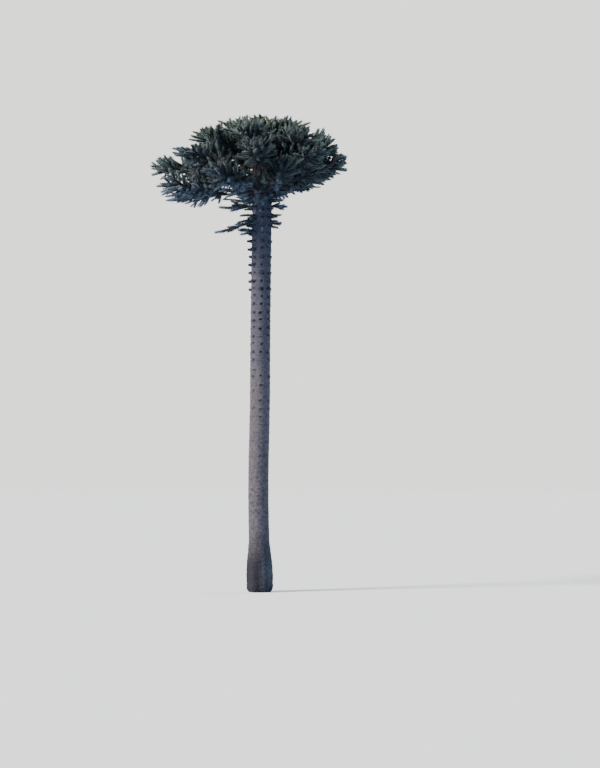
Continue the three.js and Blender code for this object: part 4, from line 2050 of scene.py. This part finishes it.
@dataclass
class Foliage:
    """The twigs and scale leaves of every spray.

    The ramps run over the shares of a tail: its leaves swell, then thin out, and fold in towards the tip.
    """

    sprays: list[Spray]
    # Twigs
    twig_sides: int = 4
    twig_rings: int = 5
    twig_radius: float = 0.42
    twig_taper: float = 0.72
    twig_taper_power: float = 1.5
    # The number of leaves
    leaf_seed: int = 9000
    leaf_gap: float = 0.0135
    inner_gap: float = 0.018
    fewest_leaves: int = 24
    shuffle: float = 78.2
    # One leaf
    leaf_long: float = 1.1
    leaf_wide: float = 0.8
    leaf_corner: float = 0.577
    leaf_flat: float = 0.42
    leaf_tip_from: float = 0.9
    leaf_tip_out: float = 0.06
    leaf_spread: float = 38
    leaf_root: float = 0.8
    # Along a tail
    least: float = 0.85
    swell: Ramp = Ramp(0, 0.3, 0.25)
    thin_out: Ramp = Ramp(0.85, 1, -0.22)
    opened: float = 1.15
    fold: Ramp = Ramp(0.2, 0.8, 0.2)
    fold_tip: Ramp = Ramp(0.88, 1, 0.35)
    turn_loose: float = 0.5
    spread_loose: float = 12
    long_loose: float = 0.3
    young_from: float = 0.62
    young_loose: float = 0.2
    # The borders of the crown's zones, which place the leaves' painted light and shade
    lit_above: float = 28.2
    lit_slope: float = 0.4
    underside: float = 25.0
    rim: float = 4.9
    flank: float = 0.7

    def twig_model(self) -> Pattern:
        """Models one twig: a tapering rod.

        Returns:
            The pattern, which stands on the origin at length one.
        """
        shares = np.linspace(0, 1, self.twig_rings)
        rings = [(np.array((0, 0, share)), self.tapered(share)) for share in shares]
        return Pattern.taken_from(drawn_up("twig", rings, self.twig_sides, 0))

    def tapered(self, share: Array | float) -> Array | float:
        """Returns a twig's thickness at shares of it, with 1 at its root."""
        return 1 - self.twig_taper * share**self.twig_taper_power

    def leaf_model(self) -> Pattern:
        """Models one scale leaf: a stiff triangle with a keel on its outer side and a drawn-out tip.

        Returns:
            The pattern: width along X, outer side along Y, and length one along Z.
        """
        deselect()
        bpy.ops.mesh.primitive_cone_add(
            vertices=3, radius1=self.leaf_corner, radius2=0, depth=1, location=(0, 0, 0.5)
        )
        leaf = bpy.context.active_object
        bpy.ops.object.transform_apply(location=True, rotation=True, scale=True)
        bpy.ops.object.mode_set(mode="EDIT")
        bpy.ops.mesh.select_all(action="SELECT")
        bpy.ops.transform.resize(value=(1, self.leaf_flat, 1), center_override=(0, 0, 0))
        bpy.ops.object.mode_set(mode="OBJECT")
        for vertex in leaf.data.vertices:
            vertex.select = vertex.co.z > self.leaf_tip_from
        bpy.ops.object.mode_set(mode="EDIT")
        bpy.ops.transform.translate(value=(0, self.leaf_tip_out, 0))
        bpy.ops.mesh.select_all(action="SELECT")
        bpy.ops.mesh.normals_make_consistent(inside=False)
        bpy.ops.object.mode_set(mode="OBJECT")
        return Pattern.taken_from(leaf)

    def build(self) -> list[Object]:
        """Joins the twigs and the leaves of each whorl into pieces of their own.

        Returns:
            The pieces.
        """
        twig, leaf = self.twig_model(), self.leaf_model()
        tints = [tint.value.material() for tint in Tint]
        wood = WoodFinish("twig_bark", (0.028, 0.032, 0.026), (0.05, 0.05, 0.038), (0.014, 0.015, 0.014), 30)
        bark = wood.material()
        pieces = []
        for whorl in (*(whorl.name for whorl in WHORLS), "shoots"):
            twigs, leaves, number = Batch(), Batch(), 1
            for spray in self.sprays:
                if spray.whorl != whorl:
                    continue
                draw = Draw(spray.seed + self.leaf_seed)
                for tail in spray.grown:
                    if leaves.triangles > PIECE_LIMIT:
                        pieces.append(leaves.piece(f"leaves_{whorl}_{number}", tints))
                        leaves, number = Batch(), number + 1
                    twigs.add(tail.path.bent(twig.points, self.twig_radius * tail.radius), twig.faces, 0)
                    self.clothe(tail, leaf, leaves, draw)
            pieces.append(leaves.piece(f"leaves_{whorl}_{number}", tints))
            pieces.append(twigs.piece(f"twigs_{whorl}", [bark]))
        return pieces

    def clothe(self, tail: Tail, leaf: Pattern, leaves: Batch, draw: Draw) -> None:
        """Sets scale leaves in a spiral round one tail.

        Args:
            tail: the tail.
            leaf: the model of a leaf.
            leaves: the piece that the leaves are joined into.
            draw: the spray's draws.
        """
        gap = self.inner_gap if tail.age is Age.INNER else self.leaf_gap
        count = max(self.fewest_leaves, round(tail.path.length() / gap))
        number = np.arange(count)
        share = (number + 0.5) / count
        loose = scattered(SCATTER[0] * number + self.shuffle * draw.next()) % 1 - 0.5
        places, aside, across, along = tail.path.frames(share)
        turn = (number * math.radians(GOLDEN_ANGLE) + self.turn_loose * loose)[:, None]
        out = aside * np.cos(turn) + across * np.sin(turn)
        size = tail.radius * (self.least + self.swell.up(share) + self.thin_out.up(share))
        angle = self.leaf_spread * (self.opened - self.fold.up(share) - self.fold_tip.up(share))
        spread = np.radians(angle + self.spread_loose * loose)[:, None]
        blade = along * np.cos(spread) + out * np.sin(spread)
        face = out * np.cos(spread) - along * np.sin(spread)
        side = np.cross(out, along)
        twig = self.twig_radius * tail.radius * self.tapered(share)
        foot = places + out * (self.leaf_root * twig)[:, None]
        long = (size * self.leaf_long * (1 + self.long_loose * loose))[:, None, None]
        wide = (size * self.leaf_wide)[:, None, None]
        shape = leaf.points[None]
        points = (
            foot[:, None]
            + shape[..., :1] * wide * side[:, None]
            + shape[..., 1:2] * wide * face[:, None]
            + shape[..., 2:] * long * blade[:, None]
        )
        faces = leaf.faces[None] + (number * len(leaf.points))[:, None, None]
        old, young = self.zone(tail).tints(draw.next())
        tint = np.where(share + self.young_loose * loose > self.young_from, young.number, old.number)
        leaves.add(points.reshape(-1, 3), faces.reshape(-1, 3), np.repeat(tint, len(leaf.faces)))

    def zone(self, tail: Tail) -> Zone:
        """Finds the zone that a tail stands in, which gives its tints' painted light and shade.

        Args:
            tail: the tail.

        Returns:
            The zone.
        """
        x, y, z = tail.path.end
        reach = math.hypot(x, y)
        flank = abs(x) > self.flank * reach
        if z < self.underside:
            return Zone.UNDERSIDE
        if tail.age is Age.INNER:
            return Zone.INSIDE
        if z > self.lit_above or (flank and z > CROWN_HEART + self.lit_slope * reach):
            return Zone.TOP
        if z < CROWN_HEART:
            return Zone.LOW_RIM if reach > self.rim else Zone.LOW
        return Zone.FLANK if flank and reach > self.rim else Zone.FRONT


# The studio
@dataclass(frozen=True)
class Lamp:
    """A far lamp.

    Attributes:
        name: its name.
        power: its strength.
        colour: its colour.
        turn: the azimuth that it shines from, in degrees from +X.
        height: how high it stands, in degrees.
        size: how wide it looks, in degrees, which softens its shadows.
    """

    name: str
    power: float
    colour: Colour
    turn: float
    height: float
    size: float

    def hang(self) -> None:
        """Hangs the lamp."""
        light = bpy.data.lights.new(self.name, "SUN")
        light.energy = self.power
        light.angle = math.radians(self.size)
        light.color = self.colour
        lamp = bpy.data.objects.new(self.name, light)
        bpy.context.collection.objects.link(lamp)
        rise = math.radians(self.height)
        towards = level(math.radians(self.turn)) * math.cos(rise) + UP * math.sin(rise)
        lamp.rotation_euler = Vector(towards).to_track_quat("Z", "Y").to_euler()


@dataclass
class Studio:
    """A pale floor without an edge in view, soft light from the upper left, and the camera."""

    # The camera, with its tilt up in degrees
    eye: Axes = (2.5, -100.0, 6.3)
    pitch: float = 3.8
    lens: float = 75
    film: float = 36
    # The floor
    floor_radius: float = 3000
    floor_sides: int = 128
    floor_height: float = -0.002
    # The light
    lamps: tuple[Lamp, ...] = (
        Lamp("key", 7.2, (1.0, 0.93, 0.9), turn=206, height=36, size=14),
        Lamp("fill", 0.5, (0.38, 0.62, 1.0), turn=-12, height=12, size=70),
        Lamp("rim", 1.1, (0.72, 0.86, 1.0), turn=38, height=30, size=30),
    )
    sky: float = 0.3
    sky_colour: Colour = (0.55, 0.74, 1.0)
    backdrop: float = 1.75
    backdrop_colour: Colour = (1, 0.985, 0.96)

    def build(self) -> None:
        """Sets up the floor, the lights and the camera."""
        self.floor()
        for lamp in self.lamps:
            lamp.hang()
        self.world()
        self.camera()

    def floor(self) -> None:
        """Lays the floor just under the ground level."""
        deselect()
        bpy.ops.mesh.primitive_circle_add(
            vertices=self.floor_sides, radius=self.floor_radius, fill_type="NGON",
            location=(0, 0, self.floor_height),
        )
        floor = bpy.context.active_object
        floor.name = floor.data.name = "floor"
        floor.data.materials.append(FloorFinish().material())

    def world(self) -> None:
        """Fills the sky with dim cool light, and shows the camera a backdrop as bright as the floor."""
        world = bpy.data.worlds.new("studio")
        bpy.context.scene.world = world
        world.use_nodes = True
        world.node_tree.nodes.clear()
        net = Network(world.node_tree)
        skies = [
            net.node("ShaderNodeBackground", {"Color": (*colour, 1), "Strength": strength}).outputs[0]
            for colour, strength in ((self.sky_colour, self.sky), (self.backdrop_colour, self.backdrop))
        ]
        seen = net.node("ShaderNodeLightPath", {}).outputs["Is Camera Ray"]
        mix = net.node("ShaderNodeMixShader", {0: seen, 1: skies[0], 2: skies[1]})
        net.node("ShaderNodeOutputWorld", {"Surface": mix.outputs[0]})

    def camera(self) -> None:
        """Sets the camera at the picture's viewing angle."""
        camera = bpy.data.objects.new("camera", bpy.data.cameras.new("camera"))
        camera.data.lens = self.lens
        camera.data.sensor_width = self.film
        camera.data.clip_end = 2 * self.floor_radius
        camera.location = self.eye
        camera.rotation_euler = (math.radians(90 + self.pitch), 0, 0)
        bpy.context.collection.objects.link(camera)
        bpy.context.scene.camera = camera


def hand_over(piece: Object, nodes: list[str]) -> None:
    """Makes a piece part of the tree in place of its solids, and reports it.

    Args:
        piece: the new piece.
        nodes: the nodes that it stands for.
    """
    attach(piece, BODY)
    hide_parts(*nodes)
    log.info("%s: %d triangles", piece.name, sum(len(face.vertices) - 2 for face in piece.data.polygons))


def main() -> None:
    """Builds the tree and its studio."""
    logging.basicConfig(level=logging.INFO, format="%(name)s %(message)s", stream=sys.stdout)
    Studio().build()
    bole = Bole()
    sprays = Growth(bole).sprays()
    tails = [tail for spray in sprays for tail in spray.grown]
    log.info("tails: %d, %.0f m", len(tails), sum(tail.path.length() for tail in tails))
    hand_over(Trunk(bole).build(), ["trunk"])
    hand_over(Stubs(bole).build(), ["trunk"])
    for branch in Boughs(sprays).build():
        hand_over(branch, [branch.name.replace("branch", "bough")])
    masses: dict[str, list[str]] = {}
    for spray in sprays:
        masses.setdefault(spray.whorl, []).extend([spray.node] if spray.node else [])
    for piece in Foliage(sprays).build():
        kind, whorl = piece.name.split("_")[:2]
        hand_over(piece, masses[whorl])
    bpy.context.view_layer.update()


if __name__ == "__main__":
    main()
